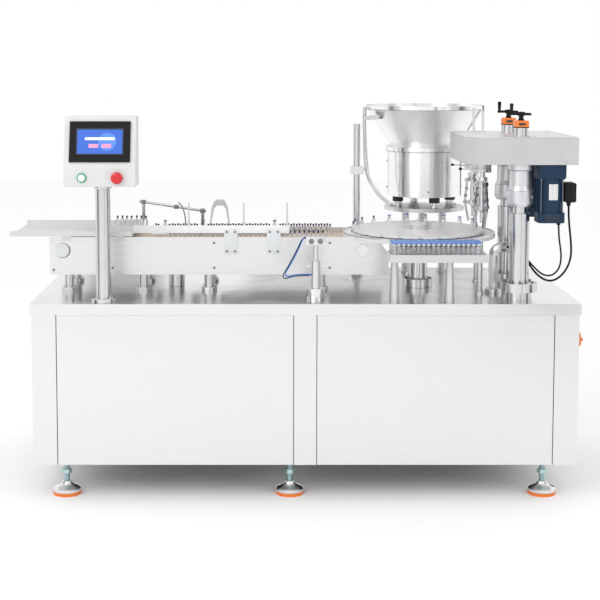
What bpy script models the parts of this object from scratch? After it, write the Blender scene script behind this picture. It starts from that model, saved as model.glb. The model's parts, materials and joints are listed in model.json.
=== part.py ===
"""Vial capping machine: cabinet, infeed conveyor, dial plate, cap feeder and a twin capping head.

Metres, +Z up. Sizes below are measured from the deck's front edge (y), the cabinet's
centre line (x) and the floor (z). One empty then carries the whole machine, so that the
origin is the middle of the machine's footprint on the floor.
"""
import math

import bmesh
import bpy
from mathutils import Matrix, Vector

# Clearances
SEAT = 0.0003           # between pieces that touch
LOOSE = 0.0005          # round pieces that turn or slide in a hole

# Cabinet
DECK_WIDTH = 1.820
DECK_DEPTH = 0.800
DECK_TOP = 0.663
DECK_SHEET = 0.003
LIP_HEIGHT = 0.037
LIP_OVERHANG = 0.005
CABINET_BOTTOM = 0.120
CORNER_POST = 0.080
CENTRE_POST = 0.074
PANEL_THICKNESS = 0.003
CABINET_SHEET = 0.003
FLOOR_RIM = 0.150        # of the cabinet's floor, round its two hatches
PANEL_SLIT = 0.002
PANEL_SLIT_DEPTH = 0.0015

# Levelling feet
FOOT_INSET_X = 0.100
FOOT_CENTRE_X = -0.050
FOOT_INSET_Y = 0.080
PAD_RADIUS = 0.047
PAD_HEIGHT = 0.012
BELL_HEIGHT = 0.034
STUD_RADIUS = 0.0095
NUT_RADIUS = 0.0175
NUT_HEIGHT = 0.014
NUT_RISE = 0.040        # from the top of the bell to the nut

# Operator panel
POST_X = -0.670
POST_Y = 0.050
POST_RADIUS = 0.025
POST_FLANGE_RADIUS = 0.041
POST_FLANGE_HEIGHT = 0.013
PANEL_BOX_WIDTH = 0.235
PANEL_BOX_BOTTOM = 1.053
PANEL_BOX_LOWER = 0.062
PANEL_BOX_UPPER = 0.166
PANEL_BOX_LEAN = 0.050
PANEL_BOX_FRONT = -0.030
PANEL_BOX_DEPTH = 0.105
BEZEL_WIDTH = 0.198
BEZEL_HEIGHT = 0.136
BEZEL_THICKNESS = 0.006
SCREEN_WIDTH = 0.148
SCREEN_HEIGHT = 0.082
SCREEN_RECESS = 0.002
BUTTON_SPREAD = 0.115
BUTTON_RISE = 0.030     # above the bottom of the panel box
START_RADIUS = 0.0155
START_LENS_RADIUS = 0.0115
START_PROUD = 0.005
START_LENS_PROUD = 0.004
STOP_RADIUS = 0.0195
STOP_NECK_RADIUS = 0.011
STOP_NECK = 0.012
STOP_HEAD = 0.010
BUTTON_WELL = 0.012
BUTTON_STEM = 0.006

# Infeed conveyor
CONVEYOR_LEFT = -0.881
CONVEYOR_RIGHT = 0.295
CONVEYOR_FRONT = 0.240
CONVEYOR_WIDTH = 0.280
CONVEYOR_TOP = 0.842
CONVEYOR_HEIGHT = 0.118
SIDE_THICKNESS = 0.006
NOSE_CUT = 0.045
ROLLER_RADIUS = 0.026
ROLLER_SHAFT_RADIUS = 0.008
ROLLER_INSET = 0.045
BELT_THICKNESS = 0.003
BELT_GAP = 0.006        # from the belt's edge to each side plate
BELT_DROP = 0.004       # the belt's top below the side plates
BED_THICKNESS = 0.030
CROSS_BAR = 0.012
LEG_INSET = 0.045
LEG_RADIUS = 0.016
LEG_FLANGE_RADIUS = 0.034
LEG_FLANGE_HEIGHT = 0.012
LEG_XS = (-0.820, -0.560, -0.330, 0.060)
DRIVE_LEG_X = -0.450
DRIVE_LEG_RADIUS = 0.027
DRIVE_FLANGE_RADIUS = 0.053
END_CAP_RADIUS = 0.031
END_CAP_THICKNESS = 0.004

# Loading tray
TRAY_LEFT = -1.010
TRAY_RIGHT = -0.590
TRAY_FRONT = 0.200
TRAY_DEPTH = 0.330
TRAY_SHEET = 0.003
TRAY_LIP = 0.018
TRAY_FOOT = 0.020

# Guide rail and fixings on the conveyor
RAIL_LEFT = -0.590
RAIL_RIGHT = -0.050
RAIL_HEIGHT = 0.026
RAIL_THICKNESS = 0.010
RAIL_BOTTOM = 0.869
VIAL_LANE = 0.024       # from the guide rail to the inner rail
INNER_RAIL_THICKNESS = 0.008
CROSS_ARM_XS = (-0.500, -0.360, -0.100)
CROSS_ARM_WIDTH = 0.016
CROSS_ARM_HEIGHT = 0.006
BRACKET_XS = (-0.252, -0.104)
BRACKET_WIDTH = 0.047
BRACKET_SHEET = 0.004
BRACKET_DROP = 0.046
ROD_XS = (-0.390, -0.200, -0.050)
ROD_RADIUS = 0.0025
ROD_HEIGHT = 0.080
ARCH_X = -0.292
ARCH_WIDTH = 0.076
ARCH_HEIGHT = 0.090
ARCH_DEPTH = 0.024
ARCH_SHEET = 0.004
GATE_XS = (-0.580, -0.360)
GATE_OVERHANG = 0.046   # of the bar, past its left post
GATE_POST_RADIUS = 0.006
GATE_POST_HEIGHT = 0.085
GATE_BAR_RADIUS = 0.0035
GATE_DEPTH = 0.200      # from the front side plate to the gate's posts

# Vial sensor stand
SENSOR_X = 0.035
SENSOR_Y = 0.060
SENSOR_FOOT_RADIUS = 0.029
SENSOR_FOOT_HEIGHT = 0.044
SENSOR_TUBE_RADIUS = 0.0155
SENSOR_TUBE_TOP = 0.800
SENSOR_ROD_RADIUS = 0.0085
SENSOR_BLOCK_BOTTOM = 0.854
SENSOR_BLOCK = (0.066, 0.030, 0.034)
SENSOR_LEAD_RADIUS = 0.003

# Dial plate and star wheel
DIAL_X = 0.410
DIAL_Y = 0.365
DIAL_RADIUS = 0.270
DIAL_BOTTOM = 0.845
DIAL_THICKNESS = 0.012
DIAL_COLUMN_RADIUS = 0.030
DIAL_LEG_RADIUS = 0.010
DIAL_LEG_INSET = 0.022
DIAL_LEG_ANGLES = (-38.0, 25.0, 90.0)
STAR_RADIUS = 0.231
STAR_THICKNESS = 0.010
STAR_GAP = 0.004        # between the dial plate and the star wheel
STAR_SHAFT_RADIUS = 0.014
STAR_HUB_RADIUS = 0.045
STAR_HUB_HEIGHT = 0.018
SHAFT_DEPTH = 0.060
POCKETS = 21             # an odd count sets a pocket under each spindle
POCKET_RADIUS = 0.0090

# Discharge tray
OUT_X = 0.436
OUT_WIDTH = 0.320
OUT_FRONT = -0.020
OUT_DEPTH = 0.110
OUT_TOP = 0.829
OUT_HEIGHT = 0.026
OUT_SHEET = 0.003
OUT_LEG_XS = (0.296, 0.479)
OUT_LEG_Y = 0.040
OUT_LEG_TOP_RADIUS = 0.011
OUT_LEG_FOOT_RADIUS = 0.018

# Cap feeder
BOWL_X = 0.468
BOWL_INSET = 0.100      # from the deck's back edge to the bowl's axis
BOWL_PLATE_TOP = 0.918
BOWL_PLATE_THICKNESS = 0.014
BOWL_PLATE_RADIUS = 0.150
BOWL_LEG_RADIUS = 0.014
BOWL_LEG_CIRCLE = 0.070
BOWL_FOOT_RADIUS = 0.019
BOWL_FOOT_HEIGHT = 0.040
BOWL_FOOT_CIRCLE = 0.105
DRUM_RADIUS = 0.140
DRUM_HEIGHT = 0.185
DRUM_BAND = 0.006
CONE_TOP_RADIUS = 0.222
CONE_NECK_RADIUS = 0.128
CONE_HEIGHT = 0.155
CONE_SHEET = 0.004
CHUTE_RADIUS = 0.007
CHUTE_GAP = 0.0006
CHUTE_REACH = 0.092      # from the hopper's rim to its lower end, across
CHUTE_FORWARD = 0.110    # and towards the front
CHUTE_CLEARANCE = 0.024  # above the vials in the star wheel
CHUTE_LINE = ((-0.02, 0.14), (0.0, 0.31), (0.04, 0.56), (0.17, 0.75), (0.55, 0.905), (1.0, 1.0))
MAST_ASIDE = 0.263      # left of the bowl's axis
MAST_FORWARD = 0.100    # of the bowl's axis
MAST_RADIUS = 0.013
MAST_TOP_DROP = 0.0686  # from the hopper's rim to the mast's top
MAST_CLAMP_DROP = 0.2386

# Twin capping head
PILLAR_X = 0.722
PILLAR_FRONT_Y = 0.115
PILLAR_PITCH = 0.235
PILLAR_RADIUS = 0.033
PILLAR_RISE = 0.029      # above the beam at rest, for the head's travel
PILLAR_NECK_RADIUS = 0.024
PILLAR_NECK_REVEAL = 0.022
PILLAR_FLANGE_RADIUS = 0.060
PILLAR_FLANGE_HEIGHT = 0.030
PILLAR_FOOT_RADIUS = 0.043
PILLAR_FOOT_HEIGHT = 0.026
BEAM_LEFT = 0.530
BEAM_RIGHT = 0.905
BEAM_FRONT = 0.060
BEAM_DEPTH = 0.460
BEAM_RISE = 0.164       # from the middle of the arm carriers to the beam's underside
BEAM_HEIGHT = 0.092
BEAM_NOSE_RADIUS = 0.085
COLLAR_RADIUS = 0.040
COLLAR_FOOT_RADIUS = 0.044
COLLAR_HEIGHT = 0.142
SCREW_RADIUS = 0.008
SCREW_REVEAL = 0.016
INDICATOR_SIZE = (0.046, 0.044, 0.024)
WHEEL_RADIUS = 0.040
WHEEL_HUB_RADIUS = 0.013
GRIP_RADIUS = 0.0065
GRIP_HEIGHT = 0.036
WHEEL_GRIP_ANGLE = 190.0
LIFT_TRAVEL = 0.025
SCREW_PITCH = 0.010     # rise of the head for one turn of a handwheel

# Gear motors
MOTOR_X = 0.822
MOTOR_FRONT_Y = 0.115
MOTOR_PITCH = 0.190
MOTOR_WIDTH = 0.090
MOTOR_BODY_RADIUS = 0.0437
MOTOR_BODY = 0.150
MOTOR_GEARBOX = 0.045
MOTOR_CAP = 0.034
TERMINAL_BOX = (0.040, 0.060, 0.066)
TERMINAL_DROP = 0.062   # from the beam to the top of the terminal box

# Capping spindles
SPINDLE_PITCHES = 1.5    # star wheel pitches from the dial's right side to each spindle
SPINDLE_RADIUS = 0.010
SPINDLE_STUB = 0.085    # above the beam
QUILL_RADIUS = 0.032
QUILL_HEIGHT = 0.040
VIAL_HEIGHT = 0.038
NOSE_CLEARANCE = 0.007  # from a capped vial to the spindle's nose
CARRIER_RADIUS = 0.023
CARRIER_HEIGHT = 0.012
NOSE_RADIUS = 0.0060
NOSE_LENGTH = 0.052     # below the carrier's middle
ARMS = 3
ARM_CIRCLE = 0.030
ARM_UP = 0.080
ARM_DOWN = 0.065
ARM_HALF_WIDTH = 0.0035
ARM_THICKNESS = 0.006
TAIL_ROLLER_RADIUS = 0.009
TIP_ROLLER_RADIUS = 0.004
TIP_CIRCLE = 0.0162
ARM_SWING = 4.5         # degrees, tips inwards
SLEEVE_NECK_RADIUS = 0.0125
SLEEVE_TRAVEL = 0.012
SLEEVE_HEAD = 0.012
ARM_START_ANGLE = 40.0
ARM_CLEARANCE = 0.0004

# Motor conduit and leads
CONDUIT_X = 0.656
CONDUIT_Y = 0.235
CONDUIT_RADIUS = 0.017
CONDUIT_WALL = 0.0015
CONDUIT_TOP = 0.821     # the height of its mouth, under the dial plate
CONDUIT_STRAIGHT = 0.010
LEAD_RADIUS = 0.0035

# Mains switch on the right side
SWITCH_Y = 0.120
SWITCH_Z = 0.522
SWITCH_PLATE = 0.060
SWITCH_PLATE_THICKNESS = 0.006
SWITCH_KNOB_RADIUS = 0.014
SWITCH_KNOB_LENGTH = 0.030
SWITCH_GRIP = 0.008

STEEL = ((0.80, 0.80, 0.79), 0.25, 1.0)
SATIN = ((0.86, 0.86, 0.85), 0.35, 1.0)
CHROME = ((0.88, 0.88, 0.88), 0.08, 1.0)
ZINC = ((0.62, 0.72, 0.74), 0.30, 1.0)
WHITE_PAINT = ((0.93, 0.93, 0.92), 0.40, 0.0)
WHITE_PLASTIC = ((0.92, 0.92, 0.92), 0.45, 0.0)
GREY_CAST = ((0.78, 0.79, 0.80), 0.45, 0.2)
BLACK = ((0.03, 0.03, 0.03), 0.50, 0.0)
ORANGE = ((0.95, 0.32, 0.03), 0.45, 0.0)
RED = ((0.80, 0.04, 0.05), 0.40, 0.0)
GREEN = ((0.02, 0.60, 0.38), 0.40, 0.0)
BLUE = ((0.03, 0.10, 0.19), 0.35, 0.1)
LEAD_BLUE = ((0.05, 0.25, 0.65), 0.45, 0.0)
BELT = ((0.75, 0.68, 0.60), 0.70, 0.0)

BODY_HALF = DECK_WIDTH / 2 - LIP_OVERHANG
SPINDLE_ANGLE = 2 * math.pi / POCKETS * SPINDLE_PITCHES
SPINDLE_X = DIAL_X + STAR_RADIUS * math.cos(SPINDLE_ANGLE)
SPINDLE_YS = {"front": DIAL_Y - STAR_RADIUS * math.sin(SPINDLE_ANGLE),
              "rear": DIAL_Y + STAR_RADIUS * math.sin(SPINDLE_ANGLE)}
PILLAR_YS = {"front": PILLAR_FRONT_Y, "rear": PILLAR_FRONT_Y + PILLAR_PITCH}
MOTOR_YS = {"front": MOTOR_FRONT_Y, "rear": MOTOR_FRONT_Y + MOTOR_PITCH}
CONVEYOR_BOTTOM = CONVEYOR_TOP - CONVEYOR_HEIGHT
CONVEYOR_BACK = CONVEYOR_FRONT + CONVEYOR_WIDTH
DIAL_TOP = DIAL_BOTTOM + DIAL_THICKNESS
CARRIER_Z = DIAL_TOP + VIAL_HEIGHT + NOSE_CLEARANCE + NOSE_LENGTH
BEAM_BOTTOM = CARRIER_Z + BEAM_RISE
BEAM_TOP = BEAM_BOTTOM + BEAM_HEIGHT
PILLAR_TOP = BEAM_TOP + PILLAR_RISE
BOWL_Y = DECK_DEPTH - BOWL_INSET
CONE_BOTTOM = BOWL_PLATE_TOP + BOWL_FOOT_HEIGHT + DRUM_HEIGHT + 2 * SEAT
CONE_TOP = CONE_BOTTOM + CONE_HEIGHT
MAST_X = BOWL_X - MAST_ASIDE
MAST_Y = BOWL_Y - MAST_FORWARD
MAST_TOP = CONE_TOP - MAST_TOP_DROP
MAST_CLAMP_Z = CONE_TOP - MAST_CLAMP_DROP
SWITCH_REACH = SWITCH_PLATE_THICKNESS + SWITCH_KNOB_LENGTH
RIGHT_END = BODY_HALF + SEAT + SWITCH_REACH + SEAT
LEFT_END = TRAY_LEFT
BACK_END = BOWL_Y + CONE_TOP_RADIUS
FRONT_END = PANEL_BOX_FRONT - STOP_NECK - STOP_HEAD - SEAT
ORIGIN_X = (LEFT_END + RIGHT_END) / 2
ORIGIN_Y = (FRONT_END + BACK_END) / 2

for old in list(bpy.data.objects):
    bpy.data.objects.remove(old, do_unlink=True)

PARTS = bpy.data.collections.new("vial_capping_machine")
CUTTERS = bpy.data.collections.new("cutters")
for collection in (PARTS, CUTTERS):
    bpy.context.scene.collection.children.link(collection)

MACHINE = bpy.data.objects.new("machine_origin", None)
MACHINE.location = (-ORIGIN_X, -ORIGIN_Y, 0)
PARTS.objects.link(MACHINE)
bpy.context.view_layer.update()


def material(name, finish):
    """A Principled material from a colour, a roughness and a metallic value."""
    colour, roughness, metallic = finish
    made = bpy.data.materials.new(name)
    made.use_nodes = True
    shader = made.node_tree.nodes["Principled BSDF"]
    shader.inputs["Base Color"].default_value = (*colour, 1.0)
    shader.inputs["Roughness"].default_value = roughness
    shader.inputs["Metallic"].default_value = metallic
    return made


def new_object(name, mesh, collection=PARTS, pivot=(0, 0, 0)):
    """An object of this mesh, whose origin is put at the pivot while its shape stays."""
    mesh.transform(Matrix.Translation(-Vector(pivot)))
    made = bpy.data.objects.new(name, mesh)
    made.parent = MACHINE
    made.location = pivot
    collection.objects.link(made)
    return made


def part(name, shape, finish, pivot=(0, 0, 0)):
    """One named piece of the machine, smooth on its round faces."""
    mesh = bpy.data.meshes.new(name)
    shape.to_mesh(mesh)
    shape.free()
    mesh.shade_smooth()
    mesh.set_sharp_from_angle(angle=math.radians(35))
    mesh.materials.append(material(name, finish))
    return new_object(name, mesh, pivot=pivot)


def boolean(target, shape, operation="DIFFERENCE"):
    """Cuts this shape from the target, or joins it on."""
    mesh = bpy.data.meshes.new(target.name + "_cutter")
    shape.to_mesh(mesh)
    shape.free()
    cutter = new_object(mesh.name, mesh, collection=CUTTERS)
    cutter.hide_render = True
    cutter.display_type = "WIRE"
    modifier = target.modifiers.new(operation.lower(), "BOOLEAN")
    modifier.operation = operation
    modifier.object = cutter


def box(shape, low, high, matrix=None):
    """Adds a block between two corners."""
    size = [b - a for a, b in zip(low, high)]
    middle = [(a + b) / 2 for a, b in zip(low, high)]
    place = Matrix.Translation(middle) @ Matrix.Diagonal((*size, 1))
    bmesh.ops.create_cube(shape, size=1, matrix=(matrix or Matrix()) @ place)


def rod(shape, start, end, radius, end_radius=None, segments=16):
    """Adds a straight round bar from one point to another."""
    start, end = Vector(start), Vector(end)
    along = end - start
    turn = Vector((0, 0, 1)).rotation_difference(along).to_matrix().to_4x4()
    place = Matrix.Translation((start + end) / 2) @ turn
    bmesh.ops.create_cone(
        shape, cap_ends=True, segments=segments, radius1=radius,
        radius2=radius if end_radius is None else end_radius, depth=along.length, matrix=place)


def add_mesh(shape, mesh, matrix):
    """Adds a placed copy of a mesh."""
    copy = mesh.copy()
    copy.transform(matrix)
    shape.from_mesh(copy)
    bpy.data.meshes.remove(copy)


def evaluated_mesh(source):
    """The finished mesh of a helper object, which is then removed."""
    bpy.context.scene.collection.objects.link(source)
    graph = bpy.context.evaluated_depsgraph_get()
    mesh = bpy.data.meshes.new_from_object(source.evaluated_get(graph))
    bpy.data.objects.remove(source)
    return mesh


def turned(profile, segments=24):
    """The mesh of a (radius, height) profile turned about Z, listed down its outer side."""
    line = bpy.data.meshes.new("profile")
    points = [(radius, 0, height) for radius, height in profile]
    closed = profile[0][0] > 0
    edges = [(i, i + 1) for i in range(len(points) - 1)]
    if closed:
        edges.append((len(points) - 1, 0))
    line.from_pydata(points, edges, [])
    source = bpy.data.objects.new("profile", line)
    screw = source.modifiers.new("turn", "SCREW")
    screw.steps = segments
    screw.render_steps = segments
    screw.use_merge_vertices = True
    screw.merge_threshold = 0.00002
    return evaluated_mesh(source)


def add_turned(shape, profile, place=(0, 0, 0), segments=24, matrix=None):
    """Adds a turned shape whose axis stands at the place."""
    add_mesh(shape, turned(profile, segments), matrix or Matrix.Translation(place))


def add_plate(shape, outline, low, thickness, matrix=None):
    """Adds a flat plate of this outline, from the height low upwards."""
    curve = bpy.data.curves.new("outline", "CURVE")
    curve.dimensions = "2D"
    curve.fill_mode = "BOTH"
    curve.extrude = thickness / 2
    spline = curve.splines.new("POLY")
    spline.points.add(len(outline) - 1)
    for point, (x, y) in zip(spline.points, outline):
        point.co = (x, y, 0, 1)
    spline.use_cyclic_u = True
    mesh = evaluated_mesh(bpy.data.objects.new("outline", curve))
    weld(mesh)
    add_mesh(shape, mesh, (matrix or Matrix()) @ Matrix.Translation((0, 0, low + thickness / 2)))


def weld(mesh):
    """Joins a mesh's doubled points and turns its faces outwards."""
    work = bmesh.new()
    work.from_mesh(mesh)
    bmesh.ops.remove_doubles(work, verts=work.verts, dist=0.00002)
    bmesh.ops.recalc_face_normals(work, faces=work.faces)
    work.to_mesh(mesh)
    work.free()


def smooth_route(points, spacing):
    """Points at an even spacing on a smooth curve through the route's own points."""
    points = [Vector(point) for point in points]
    padded = [2 * points[0] - points[1], *points, 2 * points[-1] - points[-2]]
    fine = []
    for a, b, c, d in zip(padded, padded[1:], padded[2:], padded[3:]):
        for step in range(20):
            t = step / 20
            fine.append(0.5 * (2 * b + (c - a) * t + (2 * a - 5 * b + 4 * c - d) * t ** 2
                               + (3 * b - a - 3 * c + d) * t ** 3))
    fine.append(points[-1])
    route, walked = [fine[0]], 0.0
    for before, after in zip(fine, fine[1:]):
        walked += (after - before).length
        if walked >= spacing:
            route.append(after)
            walked = 0.0
    if (route[-1] - fine[-1]).length < spacing / 2:
        route.pop()
    route.append(fine[-1])
    return route


def add_tube(shape, route, radius, resolution=2):
    """Adds a round bar or lead along a route."""
    curve = bpy.data.curves.new("route", "CURVE")
    curve.dimensions = "3D"
    curve.bevel_depth = radius
    curve.bevel_resolution = resolution
    curve.use_fill_caps = True
    spline = curve.splines.new("POLY")
    spline.points.add(len(route) - 1)
    for point, place in zip(spline.points, route):
        point.co = (*place, 1)
    mesh = evaluated_mesh(bpy.data.objects.new("route", curve))
    weld(mesh)
    add_mesh(shape, mesh, Matrix())


def arc(centre, radius, start, end, steps):
    """Points on a circle in degrees, both ends included."""
    angles = [math.radians(start + (end - start) * i / steps) for i in range(steps + 1)]
    return [(centre[0] + radius * math.cos(a), centre[1] + radius * math.sin(a)) for a in angles]


def bevel(target, width, segments=2, angle=40):
    """Rounds the sharp edges of a piece."""
    modifier = target.modifiers.new("rounded_edges", "BEVEL")
    modifier.width = width
    modifier.segments = segments
    modifier.limit_method = "ANGLE"
    modifier.angle_limit = math.radians(angle)
    return modifier


def make_cabinet():
    """The closed cabinet with its lift-off panels, deck pan and feet."""
    body_top = DECK_TOP - DECK_SHEET - SEAT
    panel_top = DECK_TOP - LIP_HEIGHT - SEAT
    panel_width = BODY_HALF - CORNER_POST - CENTRE_POST / 2
    front, back = LIP_OVERHANG, DECK_DEPTH - LIP_OVERHANG
    shape = bmesh.new()
    box(shape, (-BODY_HALF, front, CABINET_BOTTOM), (BODY_HALF, back, body_top))
    body = part("cabinet_body", shape, SATIN)
    pockets = bmesh.new()
    for hand, left in (("left", -BODY_HALF + CORNER_POST), ("right", CENTRE_POST / 2)):
        right = left + panel_width
        box(pockets, (left, front - 0.01, CABINET_BOTTOM - 0.01),
            (right, front + PANEL_THICKNESS + SEAT, panel_top + SEAT))
        for x in (left, right - PANEL_SLIT):
            box(pockets, (x, back - PANEL_SLIT_DEPTH, CABINET_BOTTOM - 0.01), (x + PANEL_SLIT, back + 0.01, panel_top))
        shape = bmesh.new()
        box(shape, (left + PANEL_SLIT, front, CABINET_BOTTOM),
            (right - PANEL_SLIT, front + PANEL_THICKNESS, panel_top))
        bevel(part(f"front_panel_{hand}", shape, SATIN), 0.001, 1)
    boolean(body, pockets)
    inner_front = front + PANEL_THICKNESS + SEAT + CABINET_SHEET
    inside = bmesh.new()
    box(inside, (-BODY_HALF + CABINET_SHEET, inner_front, CABINET_BOTTOM + CABINET_SHEET),
        (BODY_HALF - CABINET_SHEET, back - CABINET_SHEET, body_top - CABINET_SHEET))
    boolean(body, inside)
    hatches = bmesh.new()
    spans = ((-BODY_HALF + FLOOR_RIM, FOOT_CENTRE_X - CENTRE_POST), (FOOT_CENTRE_X + CENTRE_POST, BODY_HALF - FLOOR_RIM))
    for left, right in spans:
        box(hatches, (left, FLOOR_RIM, CABINET_BOTTOM - 0.01), (right, DECK_DEPTH - FLOOR_RIM, CABINET_BOTTOM + 0.01))
    boolean(body, hatches)

    shape = bmesh.new()
    box(shape, (-DECK_WIDTH / 2, 0, DECK_TOP - LIP_HEIGHT), (DECK_WIDTH / 2, DECK_DEPTH, DECK_TOP))
    deck = part("deck_pan", shape, SATIN)
    hollow = bmesh.new()
    box(hollow, (-DECK_WIDTH / 2 + DECK_SHEET, DECK_SHEET, DECK_TOP - LIP_HEIGHT - 0.01),
        (DECK_WIDTH / 2 - DECK_SHEET, DECK_DEPTH - DECK_SHEET, DECK_TOP - DECK_SHEET))
    boolean(deck, hollow)
    make_feet()


def make_feet():
    """Six levelling feet: pad, bell, stud and hexagonal lock nut turned as one piece each."""
    bell_top = PAD_HEIGHT + BELL_HEIGHT
    nut_low = bell_top + NUT_RISE - NUT_HEIGHT
    profile = [(0, CABINET_BOTTOM - SEAT), (STUD_RADIUS, CABINET_BOTTOM - SEAT), (STUD_RADIUS, bell_top),
               (0.016, bell_top), (0.021, PAD_HEIGHT + 0.024), (0.036, PAD_HEIGHT + 0.015),
               (PAD_RADIUS, PAD_HEIGHT + 0.009), (PAD_RADIUS + 0.001, PAD_HEIGHT + 0.002),
               (PAD_RADIUS - 0.001, PAD_HEIGHT), (PAD_RADIUS, PAD_HEIGHT - 0.001), (PAD_RADIUS, 0), (0, 0)]
    columns = {"left": -BODY_HALF + FOOT_INSET_X, "centre": FOOT_CENTRE_X, "right": BODY_HALF - FOOT_INSET_X}
    rows = {"front": FOOT_INSET_Y, "rear": DECK_DEPTH - FOOT_INSET_Y}
    for row, y in rows.items():
        for column, x in columns.items():
            shape = bmesh.new()
            add_turned(shape, profile, (x, y, 0), segments=16)
            foot = part(f"foot_{row}_{column}", shape, CHROME)
            nut = bmesh.new()
            rod(nut, (x, y, nut_low), (x, y, nut_low + NUT_HEIGHT), NUT_RADIUS, segments=6)
            boolean(foot, nut, "UNION")


def make_operator_panel():
    """The post with its floor flange, the sloped panel box, screen and two buttons."""
    deck = DECK_TOP + SEAT
    flange_top = deck + POST_FLANGE_HEIGHT
    shape = bmesh.new()
    add_turned(shape, [(0, PANEL_BOX_BOTTOM - SEAT), (POST_RADIUS, PANEL_BOX_BOTTOM - SEAT),
                       (POST_RADIUS, flange_top), (POST_FLANGE_RADIUS, flange_top),
                       (POST_FLANGE_RADIUS, deck), (0, deck)], (POST_X, POST_Y, 0), segments=28)
    part("panel_post", shape, STEEL)

    shoulder = PANEL_BOX_BOTTOM + PANEL_BOX_LOWER
    top = shoulder + PANEL_BOX_UPPER
    back = PANEL_BOX_FRONT + PANEL_BOX_DEPTH
    outline = [(PANEL_BOX_FRONT, PANEL_BOX_BOTTOM), (back, PANEL_BOX_BOTTOM), (back, top),
               (PANEL_BOX_FRONT + PANEL_BOX_LEAN, top), (PANEL_BOX_FRONT, shoulder)]
    upright = Matrix(((0, 0, 1, POST_X), (1, 0, 0, 0), (0, 1, 0, 0), (0, 0, 0, 1)))
    shape = bmesh.new()
    add_plate(shape, outline, -PANEL_BOX_WIDTH / 2, PANEL_BOX_WIDTH, upright)
    panel = part("panel_box", shape, WHITE_PAINT)
    bevel(panel, 0.003, 2)
    wells = bmesh.new()
    for x, radius in ((POST_X - BUTTON_SPREAD / 2, START_LENS_RADIUS), (POST_X + BUTTON_SPREAD / 2, STOP_NECK_RADIUS)):
        height = PANEL_BOX_BOTTOM + BUTTON_RISE
        rod(wells, (x, PANEL_BOX_FRONT - 0.01, height), (x, PANEL_BOX_FRONT + BUTTON_WELL, height),
            radius + LOOSE, segments=24)
    boolean(panel, wells)

    lean = math.atan2(PANEL_BOX_LEAN, PANEL_BOX_UPPER)
    slope = math.hypot(PANEL_BOX_LEAN, PANEL_BOX_UPPER)
    middle = Vector((POST_X, PANEL_BOX_FRONT + PANEL_BOX_LEAN / 2, shoulder + PANEL_BOX_UPPER / 2))
    face = Matrix.Translation(middle) @ Matrix.Rotation(-lean, 4, "X")
    half_w, half_h = BEZEL_WIDTH / 2, min(BEZEL_HEIGHT, slope) / 2
    shape = bmesh.new()
    box(shape, (-half_w, -BEZEL_THICKNESS - SEAT, -half_h), (half_w, -SEAT, half_h), face)
    bezel = part("screen_bezel", shape, BLACK)
    window = bmesh.new()
    box(window, (-SCREEN_WIDTH / 2, -BEZEL_THICKNESS - 0.01, -SCREEN_HEIGHT / 2),
        (SCREEN_WIDTH / 2, -BEZEL_THICKNESS + SCREEN_RECESS, SCREEN_HEIGHT / 2), face)
    boolean(bezel, window)
    shape = bmesh.new()
    box(shape, (-SCREEN_WIDTH / 2 + SEAT, -BEZEL_THICKNESS + SEAT, -SCREEN_HEIGHT / 2 + SEAT),
        (SCREEN_WIDTH / 2 - SEAT, -BEZEL_THICKNESS + SCREEN_RECESS - SEAT, SCREEN_HEIGHT / 2 - SEAT), face)
    part("touch_screen", shape, LEAD_BLUE)
    make_buttons()


def make_buttons():
    """The ringed start button and the mushroom stop button, both pushed in along Y."""
    front = PANEL_BOX_FRONT - SEAT
    height = PANEL_BOX_BOTTOM + BUTTON_RISE
    start_x, stop_x = POST_X - BUTTON_SPREAD / 2, POST_X + BUTTON_SPREAD / 2
    forward = Matrix.Rotation(math.radians(90), 4, "X")
    shape = bmesh.new()
    add_turned(shape, [(START_RADIUS - 0.001, START_PROUD), (START_RADIUS, START_PROUD - 0.001),
                       (START_RADIUS, 0), (START_LENS_RADIUS + LOOSE, 0),
                       (START_LENS_RADIUS + LOOSE, START_PROUD)],
               matrix=Matrix.Translation((start_x, front, height)) @ forward)
    part("start_ring", shape, GREEN)
    lens_top = START_PROUD + START_LENS_PROUD
    shape = bmesh.new()
    add_turned(shape, [(0, lens_top), (START_LENS_RADIUS - 0.001, lens_top),
                       (START_LENS_RADIUS, lens_top - 0.001),
                       (START_LENS_RADIUS, -BUTTON_STEM), (0, -BUTTON_STEM)],
               matrix=Matrix.Translation((start_x, front, height)) @ forward)
    part("start_button", shape, WHITE_PLASTIC, (start_x, front, height))
    head_top = STOP_NECK + STOP_HEAD
    shape = bmesh.new()
    add_turned(shape, [(0, head_top), (STOP_RADIUS * 0.6, head_top - 0.0008),
                       (STOP_RADIUS * 0.92, head_top - 0.003), (STOP_RADIUS, head_top - 0.006),
                       (STOP_RADIUS, STOP_NECK), (STOP_NECK_RADIUS, STOP_NECK),
                       (STOP_NECK_RADIUS, -BUTTON_STEM), (0, -BUTTON_STEM)],
               matrix=Matrix.Translation((stop_x, front, height)) @ forward)
    part("stop_button", shape, RED, (stop_x, front, height))



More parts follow.
